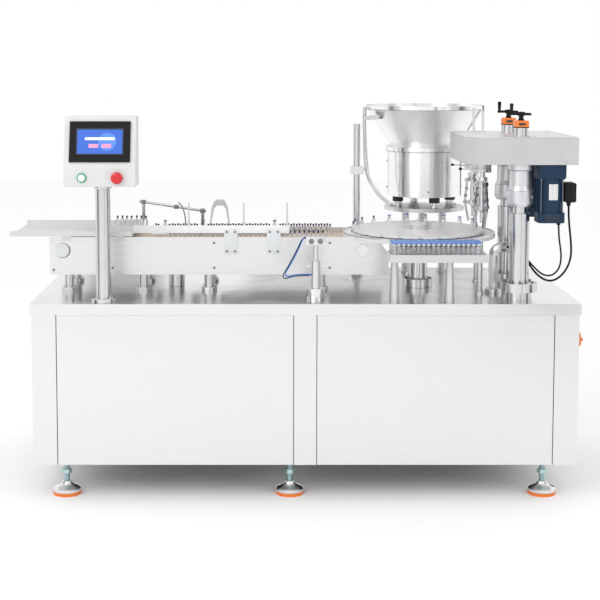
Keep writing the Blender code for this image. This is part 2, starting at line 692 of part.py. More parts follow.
def make_conveyor():
    """The belt conveyor: side plates, bed, cross bars and legs as one frame, belt and two rollers."""
    roller_z = CONVEYOR_TOP - BELT_DROP - BELT_THICKNESS - ROLLER_RADIUS
    roller_xs = {"tail": CONVEYOR_LEFT + ROLLER_INSET, "head": CONVEYOR_RIGHT - NOSE_CUT - ROLLER_INSET}
    outline = [(CONVEYOR_LEFT, CONVEYOR_BOTTOM), (CONVEYOR_RIGHT, CONVEYOR_BOTTOM),
               (CONVEYOR_RIGHT, CONVEYOR_TOP - NOSE_CUT), (CONVEYOR_RIGHT - NOSE_CUT * 0.8, CONVEYOR_TOP),
               (CONVEYOR_LEFT, CONVEYOR_TOP)]
    shape = bmesh.new()
    for y in (CONVEYOR_FRONT, CONVEYOR_BACK - SIDE_THICKNESS):
        add_plate(shape, outline, -y - SIDE_THICKNESS, SIDE_THICKNESS, Matrix.Rotation(math.radians(90), 4, "X"))
    frame = part("conveyor_frame", shape, SATIN)
    inside = (CONVEYOR_FRONT + SIDE_THICKNESS / 2, CONVEYOR_BACK - SIDE_THICKNESS / 2)
    bed = bmesh.new()
    box(bed, (roller_xs["tail"] + ROLLER_RADIUS + 0.01, inside[0], roller_z - BED_THICKNESS / 2),
        (roller_xs["head"] - ROLLER_RADIUS - 0.01, inside[1], roller_z + BED_THICKNESS / 2))
    for x in LEG_XS:
        box(bed, (x - LEG_FLANGE_RADIUS, inside[0], CONVEYOR_BOTTOM - 0.001),
            (x + LEG_FLANGE_RADIUS, inside[1], CONVEYOR_BOTTOM + CROSS_BAR))
    boolean(frame, bed, "UNION")
    deck = DECK_TOP + SEAT
    for row, y in enumerate((CONVEYOR_FRONT + LEG_INSET, CONVEYOR_BACK - LEG_INSET)):
        legs = bmesh.new()
        for x in LEG_XS:
            add_turned(legs, flanged_leg(deck, CONVEYOR_BOTTOM + 0.003, LEG_RADIUS, LEG_FLANGE_RADIUS,
                                         LEG_FLANGE_HEIGHT), (x, y, 0), segments=12)
        boolean(frame, legs, "UNION")
    extras = bmesh.new()
    top = CONVEYOR_BOTTOM + 0.003
    add_turned(extras, [(0, top), (DRIVE_FLANGE_RADIUS, top), (DRIVE_FLANGE_RADIUS, top - LEG_FLANGE_HEIGHT),
                        (DRIVE_LEG_RADIUS, top - LEG_FLANGE_HEIGHT), (DRIVE_LEG_RADIUS, deck), (0, deck)],
               (DRIVE_LEG_X, (CONVEYOR_FRONT + CONVEYOR_BACK) / 2, 0), segments=20)
    box(extras, (DRIVE_LEG_X - DRIVE_FLANGE_RADIUS, inside[0], CONVEYOR_BOTTOM + 0.001),
        (DRIVE_LEG_X + DRIVE_FLANGE_RADIUS, inside[1], CONVEYOR_BOTTOM + CROSS_BAR))
    boolean(frame, extras, "UNION")
    cap = bmesh.new()
    rod(cap, (roller_xs["tail"], CONVEYOR_FRONT - END_CAP_THICKNESS, roller_z),
        (roller_xs["tail"], CONVEYOR_FRONT + 0.001, roller_z), END_CAP_RADIUS - 0.004, segments=24)
    boolean(frame, cap, "UNION")
    holes = bmesh.new()
    for x in roller_xs.values():
        rod(holes, (x, CONVEYOR_FRONT + 0.001, roller_z), (x, CONVEYOR_BACK + 0.01, roller_z),
            ROLLER_SHAFT_RADIUS + LOOSE, segments=16)
    boolean(frame, holes)

    low, high = CONVEYOR_FRONT + SIDE_THICKNESS + BELT_GAP, CONVEYOR_BACK - SIDE_THICKNESS - BELT_GAP
    for name, x in roller_xs.items():
        shape = bmesh.new()
        length = CONVEYOR_WIDTH - SIDE_THICKNESS - 0.003
        start, end = low - CONVEYOR_FRONT, high - CONVEYOR_FRONT
        drum = ROLLER_RADIUS - LOOSE
        add_turned(shape, [(0, length), (ROLLER_SHAFT_RADIUS, length), (ROLLER_SHAFT_RADIUS, end), (drum, end),
                           (drum, start), (ROLLER_SHAFT_RADIUS, start), (ROLLER_SHAFT_RADIUS, 0.0025),
                           (0, 0.0025)], segments=24,
                   matrix=Matrix.Translation((x, CONVEYOR_FRONT, roller_z)) @ Matrix.Rotation(math.radians(-90), 4, "X"))
        part(f"{name}_roller", shape, STEEL, (x, CONVEYOR_FRONT, roller_z))
    outer = stadium(roller_xs["tail"], roller_xs["head"], roller_z, ROLLER_RADIUS + BELT_THICKNESS)
    inner = stadium(roller_xs["tail"], roller_xs["head"], roller_z, ROLLER_RADIUS)
    shape = bmesh.new()
    add_plate(shape, outer, -high, high - low, Matrix.Rotation(math.radians(90), 4, "X"))
    belt = part("conveyor_belt", shape, BELT)
    core = bmesh.new()
    add_plate(core, inner, -high - 0.01, high - low + 0.02, Matrix.Rotation(math.radians(90), 4, "X"))
    boolean(belt, core)


def stadium(left, right, height, radius, steps=14):
    """A long outline with a half circle round each roller."""
    return arc((right, height), radius, -90, 90, steps) + arc((left, height), radius, 90, 270, steps)


def flanged_leg(low, top, radius, flange_radius, flange_height):
    """The profile of a leg that stands on a round flange, with a collar under its top."""
    return [(0, top), (radius, top), (radius, low + flange_height), (flange_radius * 0.8, low + flange_height),
            (flange_radius * 0.8, low), (0, low)]


def make_loading_tray():
    """The channel-shaped tray that feeds vials over the left end of the belt."""
    floor = CONVEYOR_TOP + SEAT + TRAY_FOOT
    back = TRAY_FRONT + TRAY_DEPTH
    outline = [(TRAY_FRONT, floor), (back, floor), (back, floor + TRAY_LIP), (back - TRAY_SHEET, floor + TRAY_LIP),
               (back - TRAY_SHEET, floor + TRAY_SHEET), (TRAY_FRONT + TRAY_SHEET, floor + TRAY_SHEET),
               (TRAY_FRONT + TRAY_SHEET, floor + TRAY_LIP), (TRAY_FRONT, floor + TRAY_LIP)]
    along = Matrix(((0, 0, 1, 0), (1, 0, 0, 0), (0, 1, 0, 0), (0, 0, 0, 1)))
    shape = bmesh.new()
    add_plate(shape, outline, TRAY_LEFT, TRAY_RIGHT - TRAY_LEFT, along)
    tray = part("loading_tray", shape, SATIN)
    feet = bmesh.new()
    for x in (CONVEYOR_LEFT + 0.06, TRAY_RIGHT - 0.05):
        for y in (CONVEYOR_FRONT, CONVEYOR_BACK - SIDE_THICKNESS):
            box(feet, (x - 0.015, y, CONVEYOR_TOP + SEAT), (x + 0.015, y + SIDE_THICKNESS, floor + 0.001))
    boolean(tray, feet, "UNION")


def make_guides():
    """The white guide rail on its brackets, the inner rail on cross arms, the arch and the gate."""
    rail_front = CONVEYOR_FRONT - BRACKET_SHEET - SEAT
    rail_top = RAIL_BOTTOM + RAIL_HEIGHT
    shape = bmesh.new()
    box(shape, (RAIL_LEFT, rail_front, RAIL_BOTTOM), (RAIL_RIGHT, rail_front + RAIL_THICKNESS, rail_top))
    rail = part("guide_rail", shape, WHITE_PLASTIC)
    fixings = bmesh.new()
    for x in BRACKET_XS:
        box(fixings, (x - BRACKET_WIDTH / 2, rail_front - 0.0005, CONVEYOR_TOP - BRACKET_DROP),
            (x + BRACKET_WIDTH / 2, CONVEYOR_FRONT - SEAT, RAIL_BOTTOM + RAIL_HEIGHT / 2))
    for x in ROD_XS:
        rod(fixings, (x - ROD_RADIUS * 3, rail_front + RAIL_THICKNESS / 2, RAIL_BOTTOM + 0.005),
            (x - ROD_RADIUS * 3, rail_front + RAIL_THICKNESS / 2, rail_top + ROD_HEIGHT), ROD_RADIUS, segments=8)
    boolean(rail, fixings, "UNION")

    inner_front = rail_front + RAIL_THICKNESS + VIAL_LANE
    inner_back = inner_front + INNER_RAIL_THICKNESS
    arm_low = RAIL_BOTTOM - 0.005
    shape = bmesh.new()
    box(shape, (CROSS_ARM_XS[0] - 0.03, inner_front, RAIL_BOTTOM - 0.009), (RAIL_RIGHT, inner_back, RAIL_BOTTOM + 0.007))
    inner = part("inner_rail", shape, STEEL)
    arms = bmesh.new()
    for x in CROSS_ARM_XS:
        box(arms, (x - CROSS_ARM_WIDTH / 2, inner_front + 0.002, arm_low),
            (x + CROSS_ARM_WIDTH / 2, CONVEYOR_BACK - 0.0005, arm_low + CROSS_ARM_HEIGHT))
    boolean(inner, arms, "UNION")
    posts = bmesh.new()
    for x in CROSS_ARM_XS:
        box(posts, (x - CROSS_ARM_WIDTH / 4, CONVEYOR_BACK - SIDE_THICKNESS + 0.001, CONVEYOR_TOP + SEAT),
            (x + CROSS_ARM_WIDTH / 4, CONVEYOR_BACK - 0.001, arm_low + 0.002))
    boolean(inner, posts, "UNION")

    arch_low = RAIL_BOTTOM + 0.007 + SEAT
    half = ARCH_WIDTH / 2
    crown = arch_low + ARCH_HEIGHT - half * 0.6
    outer = [(ARCH_X + half, arch_low)] + arc((ARCH_X, crown), half, 0, 180, 10) + [(ARCH_X - half, arch_low)]
    inner_arc = arc((ARCH_X, crown), half - ARCH_SHEET, 180, 0, 10)
    outline = outer + [(ARCH_X - half + ARCH_SHEET, arch_low)] + inner_arc + [(ARCH_X + half - ARCH_SHEET, arch_low)]
    shape = bmesh.new()
    add_plate(shape, outline, -inner_front - ARCH_DEPTH, ARCH_DEPTH, Matrix.Rotation(math.radians(90), 4, "X"))
    part("arch_guard", shape, STEEL)

    post_foot = {"back": (GATE_XS[0], CONVEYOR_BACK - SIDE_THICKNESS / 2, CONVEYOR_TOP + SEAT),
                 "front": (GATE_XS[1], CONVEYOR_FRONT + GATE_DEPTH, arm_low + CROSS_ARM_HEIGHT + SEAT)}
    tops = {name: (x, y, z + GATE_POST_HEIGHT) for name, (x, y, z) in post_foot.items()}
    shape = bmesh.new()
    rod(shape, post_foot["back"], tops["back"], GATE_POST_RADIUS, segments=12)
    gate = part("gate_bar", shape, STEEL)
    other = bmesh.new()
    rod(other, post_foot["front"], tops["front"], GATE_POST_RADIUS, segments=12)
    bar = bmesh.new()
    start, end = Vector(tops["back"]), Vector(tops["front"])
    along = (end - start).normalized()
    drop = Vector((0, 0, GATE_BAR_RADIUS * 2))
    rod(bar, start - along * GATE_OVERHANG - drop, end + along * 0.012 - drop, GATE_BAR_RADIUS, segments=8)
    boolean(gate, bar, "UNION")
    boolean(gate, other, "UNION")


def make_sensor():
    """The vial sensor: foot, telescopic post, block and its pair of leads."""
    deck = DECK_TOP + SEAT
    profile = [(0, SENSOR_BLOCK_BOTTOM + 0.004), (SENSOR_ROD_RADIUS, SENSOR_BLOCK_BOTTOM + 0.004),
               (SENSOR_ROD_RADIUS, SENSOR_TUBE_TOP), (SENSOR_TUBE_RADIUS, SENSOR_TUBE_TOP),
               (SENSOR_TUBE_RADIUS, deck + SENSOR_FOOT_HEIGHT), (SENSOR_FOOT_RADIUS, deck + SENSOR_FOOT_HEIGHT),
               (SENSOR_FOOT_RADIUS, deck), (0, deck)]
    shape = bmesh.new()
    add_turned(shape, profile, (SENSOR_X, SENSOR_Y, 0), segments=20)
    stand = part("sensor_stand", shape, STEEL)
    width, depth, height = SENSOR_BLOCK
    block = bmesh.new()
    box(block, (SENSOR_X - width / 2, SENSOR_Y - depth / 2, SENSOR_BLOCK_BOTTOM),
        (SENSOR_X + width / 2, SENSOR_Y + depth / 2, SENSOR_BLOCK_BOTTOM + height))
    boolean(stand, block, "UNION")
    screw = bmesh.new()
    z = SENSOR_TUBE_TOP - 0.020
    rod(screw, (SENSOR_X - 0.030, SENSOR_Y, z), (SENSOR_X + 0.030, SENSOR_Y, z), 0.004, segments=8)
    boolean(stand, screw, "UNION")
    gap = SENSOR_LEAD_RADIUS + SEAT
    left = SENSOR_X - width / 2
    route = [(left - gap, SENSOR_Y, SENSOR_BLOCK_BOTTOM + height * 0.7), (left - 0.012, SENSOR_Y - 0.002, 0.868),
             (left - 0.030, SENSOR_Y - 0.004, 0.830), (left - 0.052, SENSOR_Y - 0.006, 0.788),
             (left - 0.071, SENSOR_Y - 0.006, 0.754), (left - 0.064, SENSOR_Y - 0.006, 0.743),
             (left - 0.040, SENSOR_Y - 0.004, 0.749), (left - 0.012, SENSOR_Y - 0.002, 0.751),
             (SENSOR_X - SENSOR_TUBE_RADIUS - LOOSE, SENSOR_Y, 0.751)]
    shape = bmesh.new()
    add_tube(shape, smooth_route(route, SENSOR_LEAD_RADIUS * 4), SENSOR_LEAD_RADIUS, 1)
    part("sensor_lead", shape, LEAD_BLUE)


def make_dial():
    """The dial plate on its column and legs, and the pocketed star wheel that turns on it."""
    deck = DECK_TOP + SEAT
    shape = bmesh.new()
    rod(shape, (DIAL_X, DIAL_Y, DIAL_BOTTOM), (DIAL_X, DIAL_Y, DIAL_TOP), DIAL_RADIUS, segments=64)
    dial = part("dial_plate", shape, WHITE_PLASTIC)
    column = bmesh.new()
    add_turned(column, flanged_leg(deck, DIAL_BOTTOM + 0.003, DIAL_COLUMN_RADIUS, DIAL_COLUMN_RADIUS * 1.6, 0.03),
               (DIAL_X, DIAL_Y, 0), segments=20)
    for angle in DIAL_LEG_ANGLES:
        reach = DIAL_RADIUS - DIAL_LEG_INSET
        x = DIAL_X + reach * math.cos(math.radians(angle))
        y = DIAL_Y + reach * math.sin(math.radians(angle))
        rod(column, (x, y, deck), (x, y, DIAL_BOTTOM + 0.003), DIAL_LEG_RADIUS, segments=12)
    boolean(dial, column, "UNION")
    bearing = bmesh.new()
    rod(bearing, (DIAL_X, DIAL_Y, DIAL_TOP - SHAFT_DEPTH), (DIAL_X, DIAL_Y, DIAL_TOP + 0.01),
        STAR_SHAFT_RADIUS + LOOSE, segments=24)
    boolean(dial, bearing)

    low = DIAL_TOP + STAR_GAP
    disc_top = low + STAR_THICKNESS
    hub_top = disc_top + STAR_HUB_HEIGHT
    shaft_low = DIAL_TOP - SHAFT_DEPTH + SEAT
    shape = bmesh.new()
    add_turned(shape, [(0, hub_top), (STAR_HUB_RADIUS * 0.6, hub_top), (STAR_HUB_RADIUS, disc_top + 0.006),
                       (STAR_HUB_RADIUS, disc_top), (STAR_RADIUS, disc_top), (STAR_RADIUS, low),
                       (STAR_SHAFT_RADIUS, low), (STAR_SHAFT_RADIUS, shaft_low), (0, shaft_low)],
               (DIAL_X, DIAL_Y, 0), segments=POCKETS * 4)
    star = part("star_wheel", shape, SATIN, (DIAL_X, DIAL_Y, low))
    pockets = bmesh.new()
    for index in range(POCKETS):
        angle = 2 * math.pi / POCKETS * (index + 0.5)
        x = DIAL_X + STAR_RADIUS * math.cos(angle)
        y = DIAL_Y + STAR_RADIUS * math.sin(angle)
        rod(pockets, (x, y, low - 0.002), (x, y, disc_top + 0.002), POCKET_RADIUS, segments=14)
    boolean(star, pockets)


def make_discharge_tray():
    """The tray that collects capped vials in front of the dial, on two tapered legs."""
    left = OUT_X - OUT_WIDTH / 2
    back = OUT_FRONT + OUT_DEPTH
    low = OUT_TOP - OUT_HEIGHT
    shape = bmesh.new()
    box(shape, (left, OUT_FRONT, low), (left + OUT_WIDTH, back, OUT_TOP))
    tray = part("discharge_tray", shape, SATIN)
    hollow = bmesh.new()
    box(hollow, (left + OUT_SHEET, OUT_FRONT + OUT_SHEET, low - 0.01),
        (left + OUT_WIDTH - OUT_SHEET, back - OUT_SHEET, OUT_TOP - OUT_SHEET))
    boolean(tray, hollow)
    legs = bmesh.new()
    for x in OUT_LEG_XS:
        rod(legs, (x, OUT_LEG_Y, DECK_TOP + SEAT), (x, OUT_LEG_Y, OUT_TOP - 0.001),
            OUT_LEG_FOOT_RADIUS, OUT_LEG_TOP_RADIUS, segments=16)
    boolean(tray, legs, "UNION")


def make_cap_feeder():
    """The feeder: plate on three legs, drum with its rubber feet, hopper cone, chute and its mast."""
    deck = DECK_TOP + SEAT
    plate_low = BOWL_PLATE_TOP - BOWL_PLATE_THICKNESS
    shape = bmesh.new()
    rod(shape, (BOWL_X, BOWL_Y, plate_low), (BOWL_X, BOWL_Y, BOWL_PLATE_TOP), BOWL_PLATE_RADIUS, segments=40)
    plate = part("feeder_plate", shape, SATIN)
    back = BOWL_PLATE_RADIUS + 0.02
    shelf = bmesh.new()
    box(shelf, (BOWL_X - back, DECK_DEPTH + 0.001, plate_low - 0.01), (BOWL_X + back, BOWL_Y + back, BOWL_PLATE_TOP + 0.01))
    boolean(plate, shelf)
    legs = bmesh.new()
    for angle in (0, 90, 180):
        x = BOWL_X + BOWL_LEG_CIRCLE * math.cos(math.radians(angle))
        y = BOWL_Y + BOWL_LEG_CIRCLE * math.sin(math.radians(angle))
        rod(legs, (x, y, deck), (x, y, plate_low + 0.002), BOWL_LEG_RADIUS, segments=14)
    boolean(plate, legs, "UNION")

    foot_low = BOWL_PLATE_TOP + SEAT
    drum_low = foot_low + BOWL_FOOT_HEIGHT
    drum_top = drum_low + DRUM_HEIGHT
    band = DRUM_RADIUS + DRUM_BAND
    shape = bmesh.new()
    add_turned(shape, [(0, drum_top), (band, drum_top), (band, drum_top - 0.016), (DRUM_RADIUS, drum_top - 0.018),
                       (DRUM_RADIUS, drum_low), (0, drum_low)], (BOWL_X, BOWL_Y, 0), segments=48)
    drum = part("feeder_drum", shape, STEEL)
    feet = bmesh.new()
    for index in range(3):
        angle = math.radians(index * 120 + 210)
        place = (BOWL_X + BOWL_FOOT_CIRCLE * math.cos(angle), BOWL_Y + BOWL_FOOT_CIRCLE * math.sin(angle), 0)
        waist = foot_low + BOWL_FOOT_HEIGHT * 0.45
        add_turned(feet, [(0, drum_low + 0.002), (BOWL_FOOT_RADIUS, drum_low + 0.002), (BOWL_FOOT_RADIUS, waist),
                          (BOWL_FOOT_RADIUS * 0.75, waist - 0.003), (BOWL_FOOT_RADIUS * 0.75, foot_low),
                          (0, foot_low)], place, segments=16)
    boolean(drum, feet, "UNION")

    rim = CONE_TOP_RADIUS
    inside_top, inside_neck = rim - CONE_SHEET, CONE_NECK_RADIUS - CONE_SHEET
    shape = bmesh.new()
    add_turned(shape, [(inside_top, CONE_TOP), (rim, CONE_TOP), (rim, CONE_TOP - 0.014), (rim - 0.006, CONE_TOP - 0.017),
                       (CONE_NECK_RADIUS, CONE_BOTTOM), (0, CONE_BOTTOM), (0, CONE_BOTTOM + CONE_SHEET),
                       (inside_neck, CONE_BOTTOM + CONE_SHEET), (inside_top - 0.006, CONE_TOP - 0.017)],
               (BOWL_X, BOWL_Y, 0), segments=56)
    part("hopper_cone", shape, STEEL)
    make_chute()


def make_chute():
    """The cap chute from the hopper's rim down to the star wheel, held by the mast's clamp."""
    mouth = (BOWL_X - CONE_TOP_RADIUS - CHUTE_RADIUS - SEAT, BOWL_Y - CONE_TOP_RADIUS * 0.18, CONE_TOP - CHUTE_RADIUS * 0.86)
    x, y, z = mouth
    end_x, end_y = x + CHUTE_REACH, y - CHUTE_FORWARD
    fall = z - (DIAL_TOP + STAR_GAP + STAR_THICKNESS + VIAL_HEIGHT + CHUTE_CLEARANCE)
    route = [(x, y, z)]
    route += [(x + (end_x - x) * across, y + (end_y - y) * across, z - fall * down) for across, down in CHUTE_LINE]
    shape = bmesh.new()
    add_tube(shape, smooth_route(route, CHUTE_RADIUS * 3), CHUTE_RADIUS, 2)
    part("cap_chute", shape, STEEL)
    shape = bmesh.new()
    rod(shape, (MAST_X, MAST_Y, DECK_TOP + SEAT), (MAST_X, MAST_Y, MAST_TOP), MAST_RADIUS, segments=16)
    mast = part("chute_mast", shape, STEEL)
    clamp = bmesh.new()
    rod(clamp, (MAST_X, MAST_Y, MAST_CLAMP_Z - 0.014), (MAST_X, MAST_Y, MAST_CLAMP_Z + 0.014), MAST_RADIUS * 1.8,
        segments=16)
    boolean(mast, clamp, "UNION")
    reach = smooth_route(route, CHUTE_RADIUS * 3)
    near = min(reach, key=lambda point: abs(point.z - MAST_CLAMP_Z))
    gap = Vector((near.x - MAST_X, near.y - MAST_Y, 0))
    end = Vector((MAST_X, MAST_Y, MAST_CLAMP_Z)) + gap * ((gap.length - CHUTE_RADIUS - CHUTE_GAP) / gap.length)
    bracket = bmesh.new()
    rod(bracket, (MAST_X, MAST_Y, MAST_CLAMP_Z), end, 0.0050, segments=8)
    boolean(mast, bracket, "UNION")


def make_pillars():
    """Two chromed pillars with floor flanges, position indicators and handwheels on top."""
    deck = DECK_TOP + SEAT
    neck_low = BEAM_BOTTOM - COLLAR_HEIGHT - PILLAR_NECK_REVEAL
    for name, y in PILLAR_YS.items():
        foot_top = deck + PILLAR_FOOT_HEIGHT
        flange_top = foot_top + PILLAR_FLANGE_HEIGHT
        shape = bmesh.new()
        add_turned(shape, [(0, PILLAR_TOP), (PILLAR_NECK_RADIUS, PILLAR_TOP), (PILLAR_NECK_RADIUS, neck_low),
                           (PILLAR_RADIUS - 0.002, neck_low), (PILLAR_RADIUS, neck_low - 0.002),
                           (PILLAR_RADIUS, flange_top), (PILLAR_FLANGE_RADIUS - 0.002, flange_top),
                           (PILLAR_FLANGE_RADIUS, flange_top - 0.002), (PILLAR_FLANGE_RADIUS, foot_top),
                           (PILLAR_FOOT_RADIUS, foot_top), (PILLAR_FOOT_RADIUS, deck), (0, deck)],
                   (PILLAR_X, y, 0), segments=28)
        part(f"pillar_{name}", shape, CHROME)
        width, depth, height = INDICATOR_SIZE
        low = PILLAR_TOP + SEAT
        shape = bmesh.new()
        box(shape, (PILLAR_X - width / 2, y - depth / 2, low), (PILLAR_X + width / 2, y + depth / 2, low + height))
        indicator = part(f"position_indicator_{name}", shape, ORANGE)
        bevel(indicator, 0.003, 2)
        socket = bmesh.new()
        rod(socket, (PILLAR_X, y, low + 0.004), (PILLAR_X, y, low + height + 0.01), SCREW_RADIUS + LOOSE, segments=16)
        boolean(indicator, socket)
        make_handwheel(name, y, low, height)


def make_handwheel(name, y, low, height):
    """A three-armed handwheel with a turned grip, on the screw that lifts the head."""
    top = low + height + SCREW_REVEAL
    shape = bmesh.new()
    add_turned(shape, [(0, top + 0.014), (WHEEL_HUB_RADIUS, top + 0.012), (WHEEL_HUB_RADIUS, top), (SCREW_RADIUS, top),
                       (SCREW_RADIUS, low + 0.004 + SEAT), (0, low + 0.004 + SEAT)], (PILLAR_X, y, 0), segments=16)
    wheel = part(f"handwheel_{name}", shape, BLACK, (PILLAR_X, y, top))
    grip_angle = math.radians(WHEEL_GRIP_ANGLE)
    for index in range(3):
        angle = grip_angle + math.radians(120 * index)
        tip = (PILLAR_X + WHEEL_RADIUS * math.cos(angle), y + WHEEL_RADIUS * math.sin(angle), top + 0.006)
        arm = bmesh.new()
        rod(arm, (PILLAR_X, y, top + 0.006), tip, 0.0045, segments=8)
        boolean(wheel, arm, "UNION")
    grip = bmesh.new()
    x, back = PILLAR_X + WHEEL_RADIUS * 0.85 * math.cos(grip_angle), y + WHEEL_RADIUS * 0.85 * math.sin(grip_angle)
    add_turned(grip, [(0, top + 0.006 + GRIP_HEIGHT), (GRIP_RADIUS, top + 0.004 + GRIP_HEIGHT),
                      (GRIP_RADIUS * 0.75, top + 0.010), (GRIP_RADIUS * 0.9, top + 0.003), (0, top + 0.003)],
               (x, back, 0), segments=10)
    boolean(wheel, grip, "UNION")



def make_head_beam():
    """The lifting beam: rounded cover, two clamp collars on the pillars and two quills."""
    back = BEAM_FRONT + BEAM_DEPTH
    nose = BEAM_NOSE_RADIUS
    outline = [(BEAM_RIGHT, BEAM_FRONT), (BEAM_RIGHT, back)]
    outline += arc((BEAM_LEFT + nose, back - nose), nose, 90, 180, 8)
    outline += arc((BEAM_LEFT + nose, BEAM_FRONT + nose), nose, 180, 270, 8)
    shape = bmesh.new()
    add_plate(shape, outline, BEAM_BOTTOM, BEAM_HEIGHT)
    beam = part("head_beam", shape, GREY_CAST)
    collars = bmesh.new()
    top = BEAM_BOTTOM + 0.003
    waist = BEAM_BOTTOM - COLLAR_HEIGHT * 0.55
    low = BEAM_BOTTOM - COLLAR_HEIGHT
    for y in PILLAR_YS.values():
        add_turned(collars, [(0, top), (COLLAR_RADIUS + 0.003, top), (COLLAR_RADIUS + 0.003, BEAM_BOTTOM - 0.020),
                             (COLLAR_RADIUS - 0.004, BEAM_BOTTOM - 0.024), (COLLAR_RADIUS - 0.002, waist),
                             (COLLAR_FOOT_RADIUS, waist - 0.012), (COLLAR_FOOT_RADIUS, low + 0.012),
                             (COLLAR_FOOT_RADIUS - 0.008, low), (0, low)], (PILLAR_X, y, 0), segments=28)
    boolean(beam, collars, "UNION")
    quills = bmesh.new()
    for y in SPINDLE_YS.values():
        rod(quills, (SPINDLE_X, y, BEAM_BOTTOM - QUILL_HEIGHT), (SPINDLE_X, y, top), QUILL_RADIUS, segments=24)
    boolean(beam, quills, "UNION")
    bores = bmesh.new()
    for y in PILLAR_YS.values():
        rod(bores, (PILLAR_X, y, low - 0.01), (PILLAR_X, y, BEAM_TOP + 0.01), PILLAR_NECK_RADIUS + LOOSE, segments=28)
    for y in SPINDLE_YS.values():
        rod(bores, (SPINDLE_X, y, BEAM_BOTTOM - QUILL_HEIGHT - 0.01), (SPINDLE_X, y, BEAM_TOP + 0.01),
            SPINDLE_RADIUS + LOOSE, segments=20)
    boolean(beam, bores)


def make_motors():
    """Two gear motors that hang under the beam, and the front one's terminal box."""
    top = BEAM_BOTTOM - SEAT
    gearbox_low = top - MOTOR_GEARBOX
    body_low = gearbox_low - MOTOR_BODY
    half = MOTOR_WIDTH / 2
    for name, y in MOTOR_YS.items():
        shape = bmesh.new()
        box(shape, (MOTOR_X - half, y - half, gearbox_low), (MOTOR_X + half, y + half, top))
        motor = part(f"gear_motor_{name}", shape, BLUE)
        body = bmesh.new()
        rod(body, (MOTOR_X, y, body_low + MOTOR_CAP / 2), (MOTOR_X, y, gearbox_low + 0.001), MOTOR_BODY_RADIUS, segments=32)
        boolean(motor, body, "UNION")
        cap = bmesh.new()
        corner = half * 0.35
        outline = []
        for quadrant, (sx, sy) in enumerate(((1, 1), (-1, 1), (-1, -1), (1, -1))):
            centre = (MOTOR_X + sx * (half - corner), y + sy * (half - corner))
            outline += arc(centre, corner, 90 * quadrant, 90 * quadrant + 90, 4)
        add_plate(cap, outline, body_low, MOTOR_CAP)
        boolean(motor, cap, "UNION")
    width, depth, height = TERMINAL_BOX
    left = MOTOR_X + MOTOR_BODY_RADIUS + SEAT
    y = MOTOR_YS["front"]
    shape = bmesh.new()
    box_top = BEAM_BOTTOM - TERMINAL_DROP
    box(shape, (left, y - depth / 2, box_top - height), (left + width, y + depth / 2, box_top))
    bevel(part("terminal_box", shape, BLACK), 0.006, 2)


def link_outline(start, start_radius, end, end_radius, steps=4):
    """The outline of a lever between two round ends."""
    along = math.degrees(math.atan2(end[1] - start[1], end[0] - start[0]))
    return (arc(end, end_radius, along - 90, along + 90, steps)
            + arc(start, start_radius, along + 90, along + 270, steps))


def make_spindles():
    """Each spindle with its arm carrier, the cone sleeve that slides on it and three crimping arms."""
    tail_circle = SLEEVE_NECK_RADIUS + TAIL_ROLLER_RADIUS + ARM_CLEARANCE
    throw = ARM_UP * math.sin(math.radians(ARM_SWING))
    slope = throw / SLEEVE_TRAVEL
    boss = ARM_CIRCLE - CARRIER_RADIUS - SEAT
    for name, y in SPINDLE_YS.items():
        axis = (SPINDLE_X, y, 0)
        half = CARRIER_HEIGHT / 2
        shape = bmesh.new()
        add_turned(shape, [(0, BEAM_TOP + SPINDLE_STUB), (SPINDLE_RADIUS * 0.5, BEAM_TOP + SPINDLE_STUB),
                           (SPINDLE_RADIUS * 0.5, BEAM_TOP + 0.004), (SPINDLE_RADIUS, BEAM_TOP + 0.002),
                           (SPINDLE_RADIUS, CARRIER_Z + half), (CARRIER_RADIUS, CARRIER_Z + half),
                           (CARRIER_RADIUS, CARRIER_Z - half), (NOSE_RADIUS * 2, CARRIER_Z - half),
                           (NOSE_RADIUS, CARRIER_Z - half - 0.012), (NOSE_RADIUS, CARRIER_Z - NOSE_LENGTH),
                           (0, CARRIER_Z - NOSE_LENGTH)], axis, segments=24)
        part(f"spindle_{name}", shape, CHROME, (SPINDLE_X, y, CARRIER_Z))

        neck_low = CARRIER_Z + ARM_UP - TAIL_ROLLER_RADIUS * 0.6
        slope_low = CARRIER_Z + ARM_UP + TAIL_ROLLER_RADIUS * slope * 0.5 + ARM_CLEARANCE
        slope_top = slope_low + SLEEVE_TRAVEL
        wide = SLEEVE_NECK_RADIUS + throw
        top = slope_top + SLEEVE_HEAD
        bore = SPINDLE_RADIUS + LOOSE
        shape = bmesh.new()
        add_turned(shape, [(bore, top), (wide, top), (wide, slope_top), (SLEEVE_NECK_RADIUS, slope_low),
                           (SLEEVE_NECK_RADIUS, neck_low), (bore, neck_low)], axis, segments=24)
        part(f"cone_sleeve_{name}", shape, STEEL, (SPINDLE_X, y, CARRIER_Z))
        for index in range(ARMS):
            make_arm(name, y, index, tail_circle, boss)


